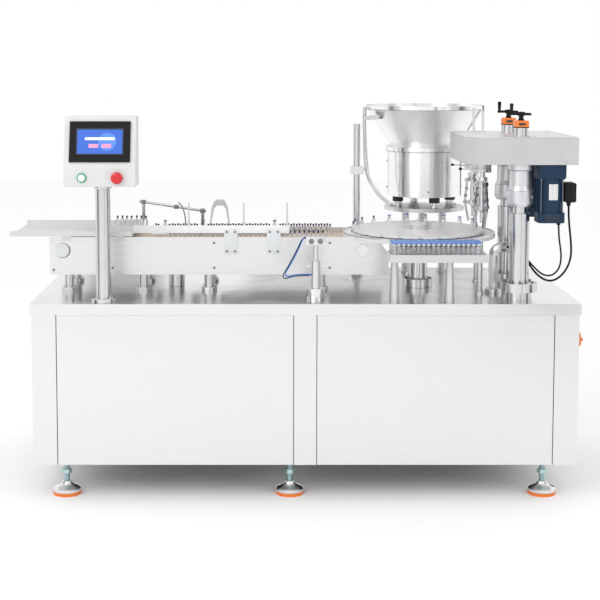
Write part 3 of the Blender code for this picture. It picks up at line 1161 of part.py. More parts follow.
def make_arm(name, y, index, tail_circle, boss):
    """One crimping arm, hinged on the carrier's rim, with its tail and tip rollers."""
    turn = Matrix.Rotation(math.radians(360 / ARMS * index + ARM_START_ANGLE), 4, "Z")
    place = Matrix.Translation((SPINDLE_X, y, CARRIER_Z)) @ turn
    plane = place @ Matrix.Rotation(math.radians(90), 4, "X")
    pivot, tail, tip = (ARM_CIRCLE, 0), (tail_circle, ARM_UP), (TIP_CIRCLE, -ARM_DOWN)

    def slab(outline, thickness):
        made = bmesh.new()
        add_plate(made, outline, -thickness / 2, thickness, plane)
        return made

    arm = part(f"crimp_arm_{name}_{index + 1}", slab(arc(pivot, boss, 0, 330, 11), ARM_THICKNESS + 0.002), CHROME,
               place @ Vector((ARM_CIRCLE, 0, 0)))
    boolean(arm, slab(link_outline(pivot, ARM_HALF_WIDTH, tail, ARM_HALF_WIDTH), ARM_THICKNESS), "UNION")
    boolean(arm, slab(arc(tail, TAIL_ROLLER_RADIUS, 0, 330, 11), ARM_THICKNESS + 0.001), "UNION")
    boolean(arm, slab(link_outline(pivot, ARM_HALF_WIDTH, tip, ARM_HALF_WIDTH), ARM_THICKNESS - 0.0005), "UNION")
    boolean(arm, slab(arc(tip, TIP_ROLLER_RADIUS, 0, 315, 7), ARM_THICKNESS + 0.0015), "UNION")


def make_conduit():
    """The steel elbow on the deck that takes the motor's leads, and the leads on their loose curve."""
    deck = DECK_TOP + SEAT
    bend = CONDUIT_RADIUS * 1.9
    mouth_x = CONDUIT_X + bend + CONDUIT_STRAIGHT
    path = [(CONDUIT_X, CONDUIT_Y, deck + 0.01)]
    path += [(CONDUIT_X + bend + dx, CONDUIT_Y, CONDUIT_TOP - bend + dz)
             for dx, dz in arc((0, 0), bend, 180, 90, 8)]
    path += [(mouth_x, CONDUIT_Y, CONDUIT_TOP)]
    shape = bmesh.new()
    add_tube(shape, path, CONDUIT_RADIUS, 3)
    elbow = part("lead_conduit", shape, STEEL)
    flange = bmesh.new()
    rod(flange, (CONDUIT_X, CONDUIT_Y, deck), (CONDUIT_X, CONDUIT_Y, deck + 0.014), CONDUIT_RADIUS * 1.7, segments=20)
    boolean(elbow, flange, "UNION")
    hollow = bmesh.new()
    add_tube(hollow, path[1:-1] + [(mouth_x + 0.01, CONDUIT_Y, CONDUIT_TOP)], CONDUIT_RADIUS - CONDUIT_WALL, 3)
    boolean(elbow, hollow)

    box_bottom = BEAM_BOTTOM - TERMINAL_DROP - TERMINAL_BOX[2]
    exit_x = MOTOR_X + MOTOR_BODY_RADIUS + SEAT + TERMINAL_BOX[0] / 2
    exit_y = MOTOR_YS["front"]
    route = [(exit_x, exit_y, box_bottom - SEAT), (exit_x + 0.002, exit_y, box_bottom - 0.060),
             (0.897, 0.118, 0.850), (0.898, 0.124, 0.800), (0.884, 0.134, 0.755), (0.856, 0.150, 0.722),
             (0.826, 0.168, 0.716), (0.796, 0.188, 0.736), (0.770, 0.208, 0.772),
             (0.748, 0.224, 0.806), (0.724, 0.233, 0.820), (mouth_x + 0.010, CONDUIT_Y, CONDUIT_TOP),
             (mouth_x - 0.020, CONDUIT_Y, CONDUIT_TOP)]
    shape = bmesh.new()
    add_tube(shape, smooth_route(route, LEAD_RADIUS * 4), LEAD_RADIUS, 2)
    part("motor_lead", shape, BLACK)


def make_mains_switch():
    """The rotary isolator on the cabinet's right side."""
    face = BODY_HALF + SEAT
    half = SWITCH_PLATE / 2
    shape = bmesh.new()
    box(shape, (face, SWITCH_Y - half, SWITCH_Z - half), (face + SWITCH_PLATE_THICKNESS, SWITCH_Y + half, SWITCH_Z + half))
    bevel(part("switch_plate", shape, ORANGE), 0.002, 2)
    start = face + SWITCH_PLATE_THICKNESS + SEAT
    shape = bmesh.new()
    rod(shape, (start, SWITCH_Y, SWITCH_Z), (start + SWITCH_KNOB_LENGTH * 0.5, SWITCH_Y, SWITCH_Z),
        SWITCH_KNOB_RADIUS, SWITCH_KNOB_RADIUS * 0.85, segments=20)
    knob = part("switch_knob", shape, RED, (start, SWITCH_Y, SWITCH_Z))
    grip = bmesh.new()
    box(grip, (start + SWITCH_KNOB_LENGTH * 0.4, SWITCH_Y - SWITCH_KNOB_RADIUS * 0.8, SWITCH_Z - SWITCH_GRIP / 2),
        (start + SWITCH_KNOB_LENGTH, SWITCH_Y + SWITCH_KNOB_RADIUS * 0.8, SWITCH_Z + SWITCH_GRIP / 2))
    boolean(knob, grip, "UNION")


make_cabinet()
make_operator_panel()
make_conveyor()
make_loading_tray()
make_guides()
make_sensor()
make_dial()
make_discharge_tray()
make_cap_feeder()
make_pillars()
make_head_beam()
make_motors()
make_spindles()
make_conduit()
make_mains_switch()
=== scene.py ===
"""The vial capping machine's looks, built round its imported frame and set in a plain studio."""
import json
import logging
import math
import random
from dataclasses import dataclass
from enum import Enum
from typing import Iterable, Sequence

import bmesh
import bpy
from mathutils import Matrix, Vector

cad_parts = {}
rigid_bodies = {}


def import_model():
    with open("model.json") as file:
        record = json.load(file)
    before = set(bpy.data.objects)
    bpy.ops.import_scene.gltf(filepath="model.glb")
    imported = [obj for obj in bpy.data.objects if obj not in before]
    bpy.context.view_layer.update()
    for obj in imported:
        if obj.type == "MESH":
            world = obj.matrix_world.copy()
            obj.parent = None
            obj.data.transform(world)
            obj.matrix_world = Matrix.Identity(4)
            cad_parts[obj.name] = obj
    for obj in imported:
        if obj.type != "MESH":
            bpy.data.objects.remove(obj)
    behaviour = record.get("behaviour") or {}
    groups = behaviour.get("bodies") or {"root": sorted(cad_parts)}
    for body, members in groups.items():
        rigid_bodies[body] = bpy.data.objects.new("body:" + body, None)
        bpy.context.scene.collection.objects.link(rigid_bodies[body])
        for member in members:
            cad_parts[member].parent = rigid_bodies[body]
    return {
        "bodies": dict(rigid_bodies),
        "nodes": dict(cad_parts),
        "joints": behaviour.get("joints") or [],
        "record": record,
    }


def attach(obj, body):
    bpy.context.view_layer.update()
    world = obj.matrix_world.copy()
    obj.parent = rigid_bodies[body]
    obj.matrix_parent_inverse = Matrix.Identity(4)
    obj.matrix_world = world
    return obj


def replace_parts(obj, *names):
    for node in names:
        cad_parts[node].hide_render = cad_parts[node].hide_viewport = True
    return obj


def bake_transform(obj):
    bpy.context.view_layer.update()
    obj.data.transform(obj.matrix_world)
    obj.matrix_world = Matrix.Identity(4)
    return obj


LOG = logging.getLogger("vial_capping_machine")
Point = Sequence[float]

ORIGIN = Vector((-0.0342, 0.43485, 0.0))
DECK_TOP = 0.6633
TOUCH = 0.0003


def spot(x: float, y: float, z: float) -> Vector:
    """A point measured from the deck's front middle and the floor, in the row frame."""
    return Vector((x, y, z)) - ORIGIN


def ring(count: int, radius: float, start: float = 0.0) -> list[tuple[float, float]]:
    """Points spread evenly round a circle.

    Args:
        count: How many points.
        radius: The circle's radius.
        start: The first point's angle, in degrees.
    Returns:
        The x and y of each point.
    """
    angles = (math.radians(start + 360 * index / count) for index in range(count))
    return [(radius * math.cos(angle), radius * math.sin(angle)) for angle in angles]


class Grain(Enum):
    """Which way a metal's brushing runs."""

    NONE = (1.0, 1.0, 1.0)
    ALONG_X = (2.0, 620.0, 620.0)
    ALONG_Z = (620.0, 620.0, 2.0)
    ROUND_Z = (3.0, 3.0, 420.0)


class Graph:
    """A material's shader nodes, added one by one and linked by socket name."""

    def __init__(self, name: str) -> None:
        """Starts a material with one Principled shader."""
        self.material = bpy.data.materials.new(name)
        self.material.use_nodes = True
        self.tree = self.material.node_tree
        self.shader = self.tree.nodes["Principled BSDF"]

    def add(self, kind: str, **inputs: object) -> bpy.types.Node:
        """Adds a node.

        Args:
            kind: The node's type, without the ShaderNode prefix.
            inputs: Values or source sockets by input name, with spaces as underscores.
        Returns:
            The new node.
        """
        node = self.tree.nodes.new(f"ShaderNode{kind}")
        for name, value in inputs.items():
            socket = node.inputs[name.replace("_", " ")]
            if isinstance(value, bpy.types.NodeSocket):
                self.tree.links.new(value, socket)
            else:
                socket.default_value = value
        return node

    def place(self, stretch: Sequence[float]) -> bpy.types.NodeSocket:
        """Object coordinates scaled by stretch along each axis."""
        coordinates = self.add("TexCoord").outputs["Object"]
        return self.add("Mapping", Vector=coordinates, Scale=stretch).outputs["Vector"]

    def noise(self, stretch: Sequence[float], scale: float, detail: float = 3.0) -> bpy.types.NodeSocket:
        """A noise value over the object's own coordinates."""
        return self.add("TexNoise", Vector=self.place(stretch), Scale=scale, Detail=detail).outputs["Fac"]

    def spread(self, value: bpy.types.NodeSocket, low: float, high: float) -> bpy.types.NodeSocket:
        """The noise value's middle part stretched to run from low to high."""
        span = self.add("MapRange", Value=value, From_Min=0.3, From_Max=0.7, To_Min=low, To_Max=high)
        return span.outputs["Result"]

    def set(self, **inputs: object) -> None:
        """Sets or links inputs of the Principled shader."""
        for name, value in inputs.items():
            socket = self.shader.inputs[name.replace("_", " ")]
            if isinstance(value, bpy.types.NodeSocket):
                self.tree.links.new(value, socket)
            else:
                socket.default_value = value

    def tint(self, value: bpy.types.NodeSocket, colour: Sequence[float], depth: float) -> None:
        """Varies the base colour by a share of itself, up and down.

        Args:
            value: The noise value that drives it.
            colour: The middle colour.
            depth: The share.
        """
        dark = [channel * (1 - depth) for channel in colour] + [1.0]
        light = [min(1.0, channel * (1 + depth)) for channel in colour] + [1.0]
        ramp = self.add("ValToRGB", Fac=value)
        ramp.color_ramp.elements[0].position = 0.3
        ramp.color_ramp.elements[1].position = 0.7
        ramp.color_ramp.elements[0].color = dark
        ramp.color_ramp.elements[1].color = light
        self.set(Base_Color=ramp.outputs["Color"])

    def bump(self, value: bpy.types.NodeSocket, strength: float, distance: float) -> None:
        """Raises the surface by a noise value."""
        node = self.add("Bump", Height=value, Strength=strength, Distance=distance)
        self.set(Normal=node.outputs["Normal"])


@dataclass(frozen=True)
class Metal:
    """A bare metal, mirror bright or brushed.

    Attributes:
        colour: Its base colour.
        roughness: The middle of its roughness.
        grain: The way its brushing runs.
        relief: How deep the brushing is, in metres.
        drawn: How far an upright turned surface smears what it mirrors along its axis.
    """

    colour: tuple[float, float, float]
    roughness: float
    grain: Grain = Grain.NONE
    relief: float = 0.000003
    drawn: float = 0.0

    def material(self, name: str) -> bpy.types.Material:
        """Builds the metal's material."""
        graph = Graph(name)
        graph.set(Metallic=1.0)
        if self.drawn:
            tangent = graph.add("Tangent")
            tangent.direction_type, tangent.axis = "RADIAL", "Z"
            graph.set(Anisotropic=self.drawn, Anisotropic_Rotation=0.25, Tangent=tangent.outputs["Tangent"])
        if self.grain is Grain.NONE:
            cloud = graph.noise((1, 1, 1), 9.0)
            graph.tint(cloud, self.colour, 0.02)
            graph.set(Roughness=graph.spread(cloud, self.roughness * 0.8, self.roughness * 1.3))
            return graph.material
        streaks = graph.noise(self.grain.value, 1.0, 5.0)
        graph.tint(streaks, self.colour, 0.01)
        graph.set(Roughness=graph.spread(streaks, self.roughness * 0.85, self.roughness * 1.15))
        graph.bump(streaks, 0.12, self.relief)
        return graph.material


@dataclass(frozen=True)
class Coat:
    """Paint, plastic or rubber.

    Attributes:
        colour: Its base colour.
        roughness: The middle of its roughness.
        gloss: The clear coat's weight.
        pebble: How deep its fine texture is, in metres.
        scale: How fine that texture is.
        glow: How strongly it shines by itself.
        mottle: How far its tone varies from place to place, and how finely.
        sheen: How strongly its surface mirrors, with 0.5 for plain plastic.
    """

    colour: tuple[float, float, float]
    roughness: float
    gloss: float = 0.0
    pebble: float = 0.00003
    scale: float = 900.0
    glow: float = 0.0
    # mottle: How far its tone varies from place to place, and how finely; on the blue caps it is painted
    # highlight and shade.
    mottle: tuple[float, float] = (0.03, 14.0)
    sheen: float = 0.5

    def material(self, name: str) -> bpy.types.Material:
        """Builds the coating's material."""
        graph = Graph(name)
        fine = graph.noise((1, 1, 1), self.scale)
        graph.tint(graph.noise((1, 1, 1), self.mottle[1]), self.colour, self.mottle[0])
        graph.set(Roughness=graph.spread(fine, self.roughness * 0.85, self.roughness * 1.15),
                  Specular_IOR_Level=self.sheen)
        if self.gloss:
            graph.set(Coat_Weight=self.gloss, Coat_Roughness=0.06)
        if self.glow:
            graph.set(Emission_Color=(*self.colour, 1.0), Emission_Strength=self.glow)
        graph.bump(fine, 0.25, self.pebble)
        return graph.material


@dataclass(frozen=True)
class Glass:
    """Clear glass with a faint tint."""

    colour: tuple[float, float, float] = (0.97, 0.98, 1.0)
    roughness: float = 0.02

    def material(self, name: str) -> bpy.types.Material:
        """Builds the glass."""
        graph = Graph(name)
        graph.tint(graph.noise((1, 1, 1), 30.0), self.colour, 0.01)
        graph.set(Roughness=self.roughness, IOR=1.47, Transmission_Weight=0.85)
        return graph.material


Finish = Metal | Coat | Glass

FINISHES: dict[str, Finish] = {
    "sheet": Metal((0.80, 0.80, 0.80), 0.30, Grain.ALONG_X),
    "upright_sheet": Metal((0.80, 0.80, 0.80), 0.30, Grain.ALONG_Z),
    "deck": Metal((0.80, 0.80, 0.80), 0.21),
    "satin": Metal((0.78, 0.78, 0.79), 0.27),
    "turned": Metal((0.78, 0.78, 0.78), 0.20, Grain.ROUND_Z),
    "mirror": Metal((0.70, 0.70, 0.71), 0.17, drawn=0.9),
    "bowl": Metal((0.95, 0.95, 0.95), 0.27, drawn=0.95),
    "chrome": Metal((0.82, 0.82, 0.83), 0.09),
    "dark_chrome": Metal((0.52, 0.52, 0.53), 0.13),
    "dull_sheet": Metal((0.70, 0.70, 0.70), 0.36, Grain.ALONG_X),
    "zinc": Metal((0.50, 0.66, 0.68), 0.30),
    "dark_steel": Metal((0.28, 0.28, 0.30), 0.35),
    "alloy": Metal((0.74, 0.75, 0.76), 0.40),
    "pale_alloy": Coat((0.74, 0.74, 0.73), 0.38, 0.35),
    "white_paint": Coat((0.68, 0.68, 0.68), 0.42, 0.1),
    "white_plastic": Coat((0.84, 0.84, 0.83), 0.42),
    "pale_plastic": Coat((0.72, 0.74, 0.75), 0.40),
    "casting": Coat((0.515, 0.52, 0.53), 0.50, 0.1, 0.00008, 500.0),
    "motor": Coat((0.008, 0.030, 0.068), 0.45, 0.0, 0.00006, 500.0, sheen=0.28),
    "black": Coat((0.010, 0.010, 0.011), 0.55, sheen=0.18),
    "gasket": Coat((0.05, 0.05, 0.055), 0.75),
    "rubber": Coat((0.030, 0.030, 0.030), 0.70),
    "lead": Coat((0.008, 0.008, 0.009), 0.45, 0.05, sheen=0.2),
    "blue_lead": Coat((0.02, 0.16, 0.55), 0.40, 0.3),
    "belt": Coat((0.60, 0.50, 0.40), 0.75, 0.0, 0.00015, 1400.0),
    "orange": Coat((0.85, 0.20, 0.02), 0.42, 0.2),
    "red": Coat((0.62, 0.010, 0.015), 0.30, 0.5),
    "green": Coat((0.01, 0.42, 0.20), 0.35, 0.3),
    "lens": Coat((0.86, 0.88, 0.84), 0.20, 0.6),
    # The blue caps' deep, fine mottle is painted highlight and shade: lighter and darker spots for the light
    # that single caps catch.
    "vial_blue": Coat((0.09, 0.24, 0.74), 0.30, 0.4, mottle=(0.55, 150.0)),
    "stopper": Coat((0.022, 0.030, 0.070), 0.50, sheen=0.3),
    "screen": Coat((0.02, 0.10, 0.48), 0.35, 0.1, 0.00001, 900.0, 0.35),
    "screen_pale": Coat((0.07, 0.20, 0.60), 0.35, 0.1, 0.00001, 900.0, 0.35),
    "screen_white": Coat((0.80, 0.82, 0.86), 0.25, 0.5, 0.00001, 900.0, 0.35),
    "screen_pink": Coat((0.70, 0.25, 0.42), 0.25, 0.5, 0.00001, 900.0, 0.35),
    "plate": Metal((0.85, 0.85, 0.85), 0.30, Grain.ALONG_X),
    "glass": Glass(),
}


class Workshop:
    """Keeps the frame and one material of each finish, and dresses pieces with them."""

    def __init__(self) -> None:
        """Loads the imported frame."""
        self.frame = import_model()
        self.made: dict[str, bpy.types.Material] = {}

    def finish(self, name: str) -> bpy.types.Material:
        """The material of a finish, built when first asked for."""
        if name not in self.made:
            self.made[name] = FINISHES[name].material(name)
        return self.made[name]

    def dress(self, nodes: Iterable[str] | str, name: str) -> None:
        """Gives carried-over nodes a finish.

        Args:
            nodes: Node names, as a list or parted by spaces.
            name: The finish.
        """
        names = nodes.split() if isinstance(nodes, str) else nodes
        for node in names:
            part = self.frame["nodes"][node]
            part.data.materials.clear()
            part.data.materials.append(self.finish(name))
            smooth(part.data)

    def report(self, piece: str) -> None:
        """Logs a finished piece."""
        LOG.info("made %s", piece)


def smooth(mesh: bpy.types.Mesh, angle: float = 32.0) -> None:
    """Shades a mesh smooth and keeps the edges sharper than an angle."""
    mesh.shade_smooth()
    mesh.set_sharp_from_angle(angle=math.radians(angle))


class Shape:
    """A mesh that grows by closed forms and then becomes one named piece."""

    def __init__(self) -> None:
        """Starts empty."""
        self.mesh = bmesh.new()

    def block(self, low: Point, high: Point, turn: Matrix | None = None, soften: float = 0.0) -> "Shape":
        """Adds a box.

        Args:
            low: Its lowest corner.
            high: Its highest corner.
            turn: Where the box's own coordinates lie.
            soften: The width of its rounded edges.
        Returns:
            This shape.
        """
        size = Vector(high) - Vector(low)
        middle = (Vector(high) + Vector(low)) / 2
        made = bmesh.ops.create_cube(self.mesh, size=1.0)["verts"]
        bmesh.ops.scale(self.mesh, verts=made, vec=size)
        bmesh.ops.translate(self.mesh, verts=made, vec=middle)
        if turn is not None:
            bmesh.ops.transform(self.mesh, verts=made, matrix=turn)
        if soften:
            edges = list({edge for vertex in made for edge in vertex.link_edges})
            bmesh.ops.bevel(self.mesh, geom=edges, offset=soften, segments=2, profile=0.5, affect="EDGES")
        return self

    def lathe(self, profile: Sequence[tuple[float, float]], centre: Point = (0, 0, 0), sides: int = 32,
              turn: Matrix | None = None) -> "Shape":
        """Adds a form turned about Z.

        Args:
            profile: Radius and height of each point, from the top down the outside.
            centre: Where the axis stands; heights count from it.
            sides: How many flats go round.
            turn: A matrix applied after the centre.
        Returns:
            This shape.
        """
        place = (turn or Matrix()) @ Matrix.Translation(Vector(centre))
        rings = []
        for radius, height in profile:
            if radius < 1e-7:
                rings.append([self.mesh.verts.new(place @ Vector((0, 0, height)))])
            else:
                rings.append([self.mesh.verts.new(place @ Vector((x, y, height)))
                              for x, y in ring(sides, radius)])
        for upper, lower in zip(rings, rings[1:]):
            for index in range(sides):
                after = (index + 1) % sides
                corners = [upper[index % len(upper)], lower[index % len(lower)], lower[after % len(lower)],
                           upper[after % len(upper)]]
                kept = list(dict.fromkeys(corners))
                if len(kept) > 2:
                    self.mesh.faces.new(kept)
        return self

    def hoop(self, profile: Sequence[tuple[float, float]], centre: Point = (0, 0, 0), sides: int = 32,
             turn: Matrix | None = None) -> "Shape":
        """Adds a ring turned about Z, whose closed profile never meets the axis."""
        return self.lathe([*profile, profile[0]], centre, sides, turn)

    def rod(self, start: Point, end: Point, radius: float, end_radius: float | None = None,
            sides: int = 20, rounded: float = 0.0) -> "Shape":
        """Adds a round bar.

        Args:
            start: The centre of its first end.
            end: The centre of its other end.
            radius: Its radius at the first end.
            end_radius: Its radius at the other end, if that differs.
            sides: How many flats go round.
            rounded: The width of the broken edges at both ends.
        Returns:
            This shape.
        """
        along = Vector(end) - Vector(start)
        length = along.length
        last = radius if end_radius is None else end_radius
        turn = Matrix.Translation(Vector(start)) @ along.to_track_quat("Z", "Y").to_matrix().to_4x4()
        if rounded:
            profile = [(0, length), (last - rounded, length), (last, length - rounded), (radius, rounded),
                       (radius - rounded, 0), (0, 0)]
        else:
            profile = [(0, length), (last, length), (radius, 0), (0, 0)]
        return self.lathe(profile, (0, 0, 0), sides, turn)

    def plate(self, outline: Sequence[tuple[float, float]], low: float, high: float,
              turn: Matrix | None = None) -> "Shape":
        """Adds a flat plate.

        Args:
            outline: Its corners in x and y.
            low: The height of its underside.
            high: The height of its top.
            turn: Where the plate's own coordinates lie.
        Returns:
            This shape.
        """
        place = turn or Matrix()
        floor = [self.mesh.verts.new(place @ Vector((x, y, low))) for x, y in outline]
        roof = [self.mesh.verts.new(place @ Vector((x, y, high))) for x, y in outline]
        self.mesh.faces.new(floor[::-1])
        self.mesh.faces.new(roof)
        for index in range(len(outline)):
            after = (index + 1) % len(outline)
            self.mesh.faces.new([floor[index], floor[after], roof[after], roof[index]])
        return self

    def tube(self, points: Sequence[Vector], radius: float, sides: int = 10) -> "Shape":
        """Adds a round tube along a line of points, closed at both ends.

        Args:
            points: The line.
            radius: The tube's radius.
            sides: How many flats go round.
        Returns:
            This shape.
        """
        rings = []
        side = None
        for index, point in enumerate(points):
            before = points[max(index - 1, 0)]
            after = points[min(index + 1, len(points) - 1)]
            along = (after - before).normalized()
            if side is None:
                side = along.orthogonal().normalized()
            side = (side - along * side.dot(along)).normalized()
            other = along.cross(side)
            rings.append([self.mesh.verts.new(point + side * x + other * y) for x, y in ring(sides, radius)])
        for first, second in zip(rings, rings[1:]):
            for index in range(sides):
                after = (index + 1) % sides
                self.mesh.faces.new([first[index], first[after], second[after], second[index]])
        self.mesh.faces.new(rings[0][::-1])
        self.mesh.faces.new(rings[-1])
        return self

    def screw_head(self, at: Point, out: Point, radius: float, height: float) -> "Shape":
        """Adds a socket screw's head with its dished top, standing out of a face.

        Args:
            at: Where it sits.
            out: The way that it points.
            radius: Its radius.
            height: How far it stands out.
        Returns:
            This shape.
        """
        turn = Matrix.Translation(Vector(at)) @ Vector(out).to_track_quat("Z", "Y").to_matrix().to_4x4()
        profile = [(0, height * 0.45), (radius * 0.48, height * 0.45), (radius * 0.52, height),
                   (radius * 0.88, height), (radius, height * 0.85), (radius, 0), (0, 0)]
        return self.lathe(profile, (0, 0, 0), 12, turn)

    def hexagon(self, at: Point, out: Point, radius: float, height: float) -> "Shape":
        """Adds a hexagonal nut or bolt head, standing out of a face."""
        turn = Matrix.Translation(Vector(at)) @ Vector(out).to_track_quat("Z", "Y").to_matrix().to_4x4()
        return self.plate(ring(6, radius), 0, height, turn)

    def piece(self, shop: Workshop, name: str, finish: str, body: str = "machine",
              bevel: float = 0.0) -> bpy.types.Object:
        """Turns the shape into a piece that rides on a body.

        Args:
            shop: The workshop that holds the materials.
            name: The piece's name.
            finish: Its finish.
            body: The frame body that carries it.
            bevel: The width of a bevel on its sharp edges, if it has one.
        Returns:
            The new piece.
        """
        bmesh.ops.remove_doubles(self.mesh, verts=self.mesh.verts, dist=1e-6)
        bmesh.ops.recalc_face_normals(self.mesh, faces=self.mesh.faces)
        bmesh.ops.translate(self.mesh, verts=self.mesh.verts, vec=-ORIGIN)
        mesh = bpy.data.meshes.new(name)
        self.mesh.to_mesh(mesh)
        self.mesh.free()
        smooth(mesh)
        made = bpy.data.objects.new(name, mesh)
        bpy.context.scene.collection.objects.link(made)
        made.data.materials.append(shop.finish(finish))
        if bevel:
            edge = made.modifiers.new("edge", "BEVEL")
            edge.width = bevel
            edge.segments = 2
            edge.limit_method = "ANGLE"
            edge.harden_normals = True
        if body:
            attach(made, body)
        shop.report(name)
        return made


def stand_in(shop: Workshop, node: str, shape: Shape, finish: str, body: str = "machine",
             bevel: float = 0.0) -> None:
    """Lets a finer shape stand where a node is.

    Args:
        shop: The workshop.
        node: The node that it replaces.
        shape: The finer shape.
        finish: Its finish.
        body: The frame body that carries it.
        bevel: The width of a bevel on its sharp edges, if it has one.
    """
    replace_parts(shape.piece(shop, f"fine_{node}", finish, body, bevel), node)


def rounded_outline(low: tuple[float, float], high: tuple[float, float], radius: float,
                    steps: int = 4) -> list[tuple[float, float]]:
    """A rectangle's outline with round corners.

    Args:
        low: Its lowest corner.
        high: Its highest corner.
        radius: The corners' radius.
        steps: How many lines make each corner.
    Returns:
        The outline's points, anticlockwise.
    """
    corners = ((high[0] - radius, high[1] - radius), (low[0] + radius, high[1] - radius),
               (low[0] + radius, low[1] + radius), (high[0] - radius, low[1] + radius))
    points = []
    for quarter, (x, y) in enumerate(corners):
        for step in range(steps + 1):
            angle = math.radians(90 * quarter + 90 * step / steps)
            points.append((x + radius * math.cos(angle), y + radius * math.sin(angle)))
    return points


def smooth_line(points: Sequence[Point], spacing: float) -> list[Vector]:
    """A smooth line through points, cut into even steps.

    Args:
        points: What the line passes through.
        spacing: The length of one step.
    Returns:
        The line's points.
    """
    given = [Vector(point) for point in points]
    knots = [given[0] * 2 - given[1], *given, given[-1] * 2 - given[-2]]
    fine = []
    for a, b, c, d in zip(knots, knots[1:], knots[2:], knots[3:]):
        for step in range(24):
            t = step / 24
            fine.append(0.5 * (2 * b + (c - a) * t + (2 * a - 5 * b + 4 * c - d) * t ** 2
                               + (3 * b - a - 3 * c + d) * t ** 3))
    fine.append(given[-1])
    total = sum((after - before).length for before, after in zip(fine, fine[1:]))
    count = max(2, round(total / spacing))
    even, walked, target = [fine[0]], 0.0, total / count
    for before, after in zip(fine, fine[1:]):
        length = (after - before).length
        while walked + length >= target * len(even) and len(even) < count:
            even.append(before.lerp(after, (target * len(even) - walked) / length))
        walked += length
    even.append(fine[-1])
    return even


@dataclass(frozen=True)
class Cabinet:
    """The steel cabinet: brushed sheets, dark joints round its panels and six levelling feet."""

    front: float = 0.005
    back: float = 0.795
    bottom: float = 0.120
    panel_top: float = 0.6257
    slits: tuple[float, ...] = (-0.824, -0.038, 0.038, 0.824)
    foot_columns: tuple[float, ...] = (-0.805, -0.050, 0.805)
    foot_rows: tuple[float, ...] = (0.080, 0.720)

    def build(self, shop: Workshop) -> None:
        """Dresses the sheets and adds the joints and the feet."""
        shop.dress("cabinet_body", "upright_sheet")
        shop.dress("front_panel_left front_panel_right", "sheet")
        shop.dress("deck_pan", "deck")
        self.seal_joints(shop)
        for row, y in zip(("front", "rear"), self.foot_rows):
            for column, x in zip(("left", "centre", "right"), self.foot_columns):
                self.make_foot(shop, f"{row}_{column}", x, y)

    def seal_joints(self, shop: Workshop) -> None:
        """Lays a dark strip in each narrow joint beside the panels, front and back."""
        fronts, backs = Shape(), Shape()
        for x in self.slits:
            fronts.block((x - 0.0009, self.front + 0.0006, self.bottom + 0.001),
                         (x + 0.0009, self.front + 0.0031, self.panel_top))
            backs.block((x - 0.0009, self.back - 0.0013, self.bottom + 0.001),
                        (x + 0.0009, self.back - 0.0004, self.panel_top - 0.001))
        fronts.piece(shop, "panel_joints_front", "gasket")
        backs.piece(shop, "panel_joints_back", "gasket")

    def make_foot(self, shop: Workshop, name: str, x: float, y: float) -> None:
        """Makes one foot: rubber pad, chromed bell, threaded stud and lock nut.

        Args:
            shop: The workshop.
            name: Which foot it is.
            x: Its place across the machine.
            y: Its place from front to back.
        """
        node = f"foot_{name}"
        pad = Shape().lathe([(0, 0.0110), (0.0455, 0.0110), (0.0468, 0.0095), (0.0470, 0.0015),
                             (0.0462, 0.0), (0, 0.0)], (x, y, 0), 40)
        bell = Shape().lathe([(0, 0.0460), (0.0150, 0.0460), (0.0160, 0.0452), (0.0175, 0.0400),
                              (0.0210, 0.0345), (0.0280, 0.0300), (0.0380, 0.0262), (0.0440, 0.0232),
                              (0.0472, 0.0195), (0.0478, 0.0150), (0.0470, 0.0116),
                              (0, 0.0116)], (x, y, 0), 40)
        thread = [(0, 0.1196), (0.0088, 0.1196)]
        turns = 28
        for turn in range(turns):
            top = 0.1190 - turn * 0.0026
            thread += [(0.0095, top - 0.0008), (0.0086, top - 0.0021)]
        stud = Shape().lathe([*thread, (0.0090, 0.0462), (0, 0.0462)], (x, y, 0), 20)
        nut = Shape().hexagon((x, y, 0.0720), (0, 0, 1), 0.0175, 0.0140)
        nut.lathe([(0.0096, 0.0723), (0.0150, 0.0723), (0.0158, 0.0705), (0.0096, 0.0705), (0.0096, 0.0723)],
                  (x, y, 0), 24)
        made = bell.piece(shop, f"{node}_bell", "chrome")
        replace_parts(made, node)
        pad.piece(shop, f"{node}_pad", "orange")
        stud.piece(shop, f"{node}_stud", "zinc")
        nut.piece(shop, f"{node}_nut", "zinc", bevel=0.0006)


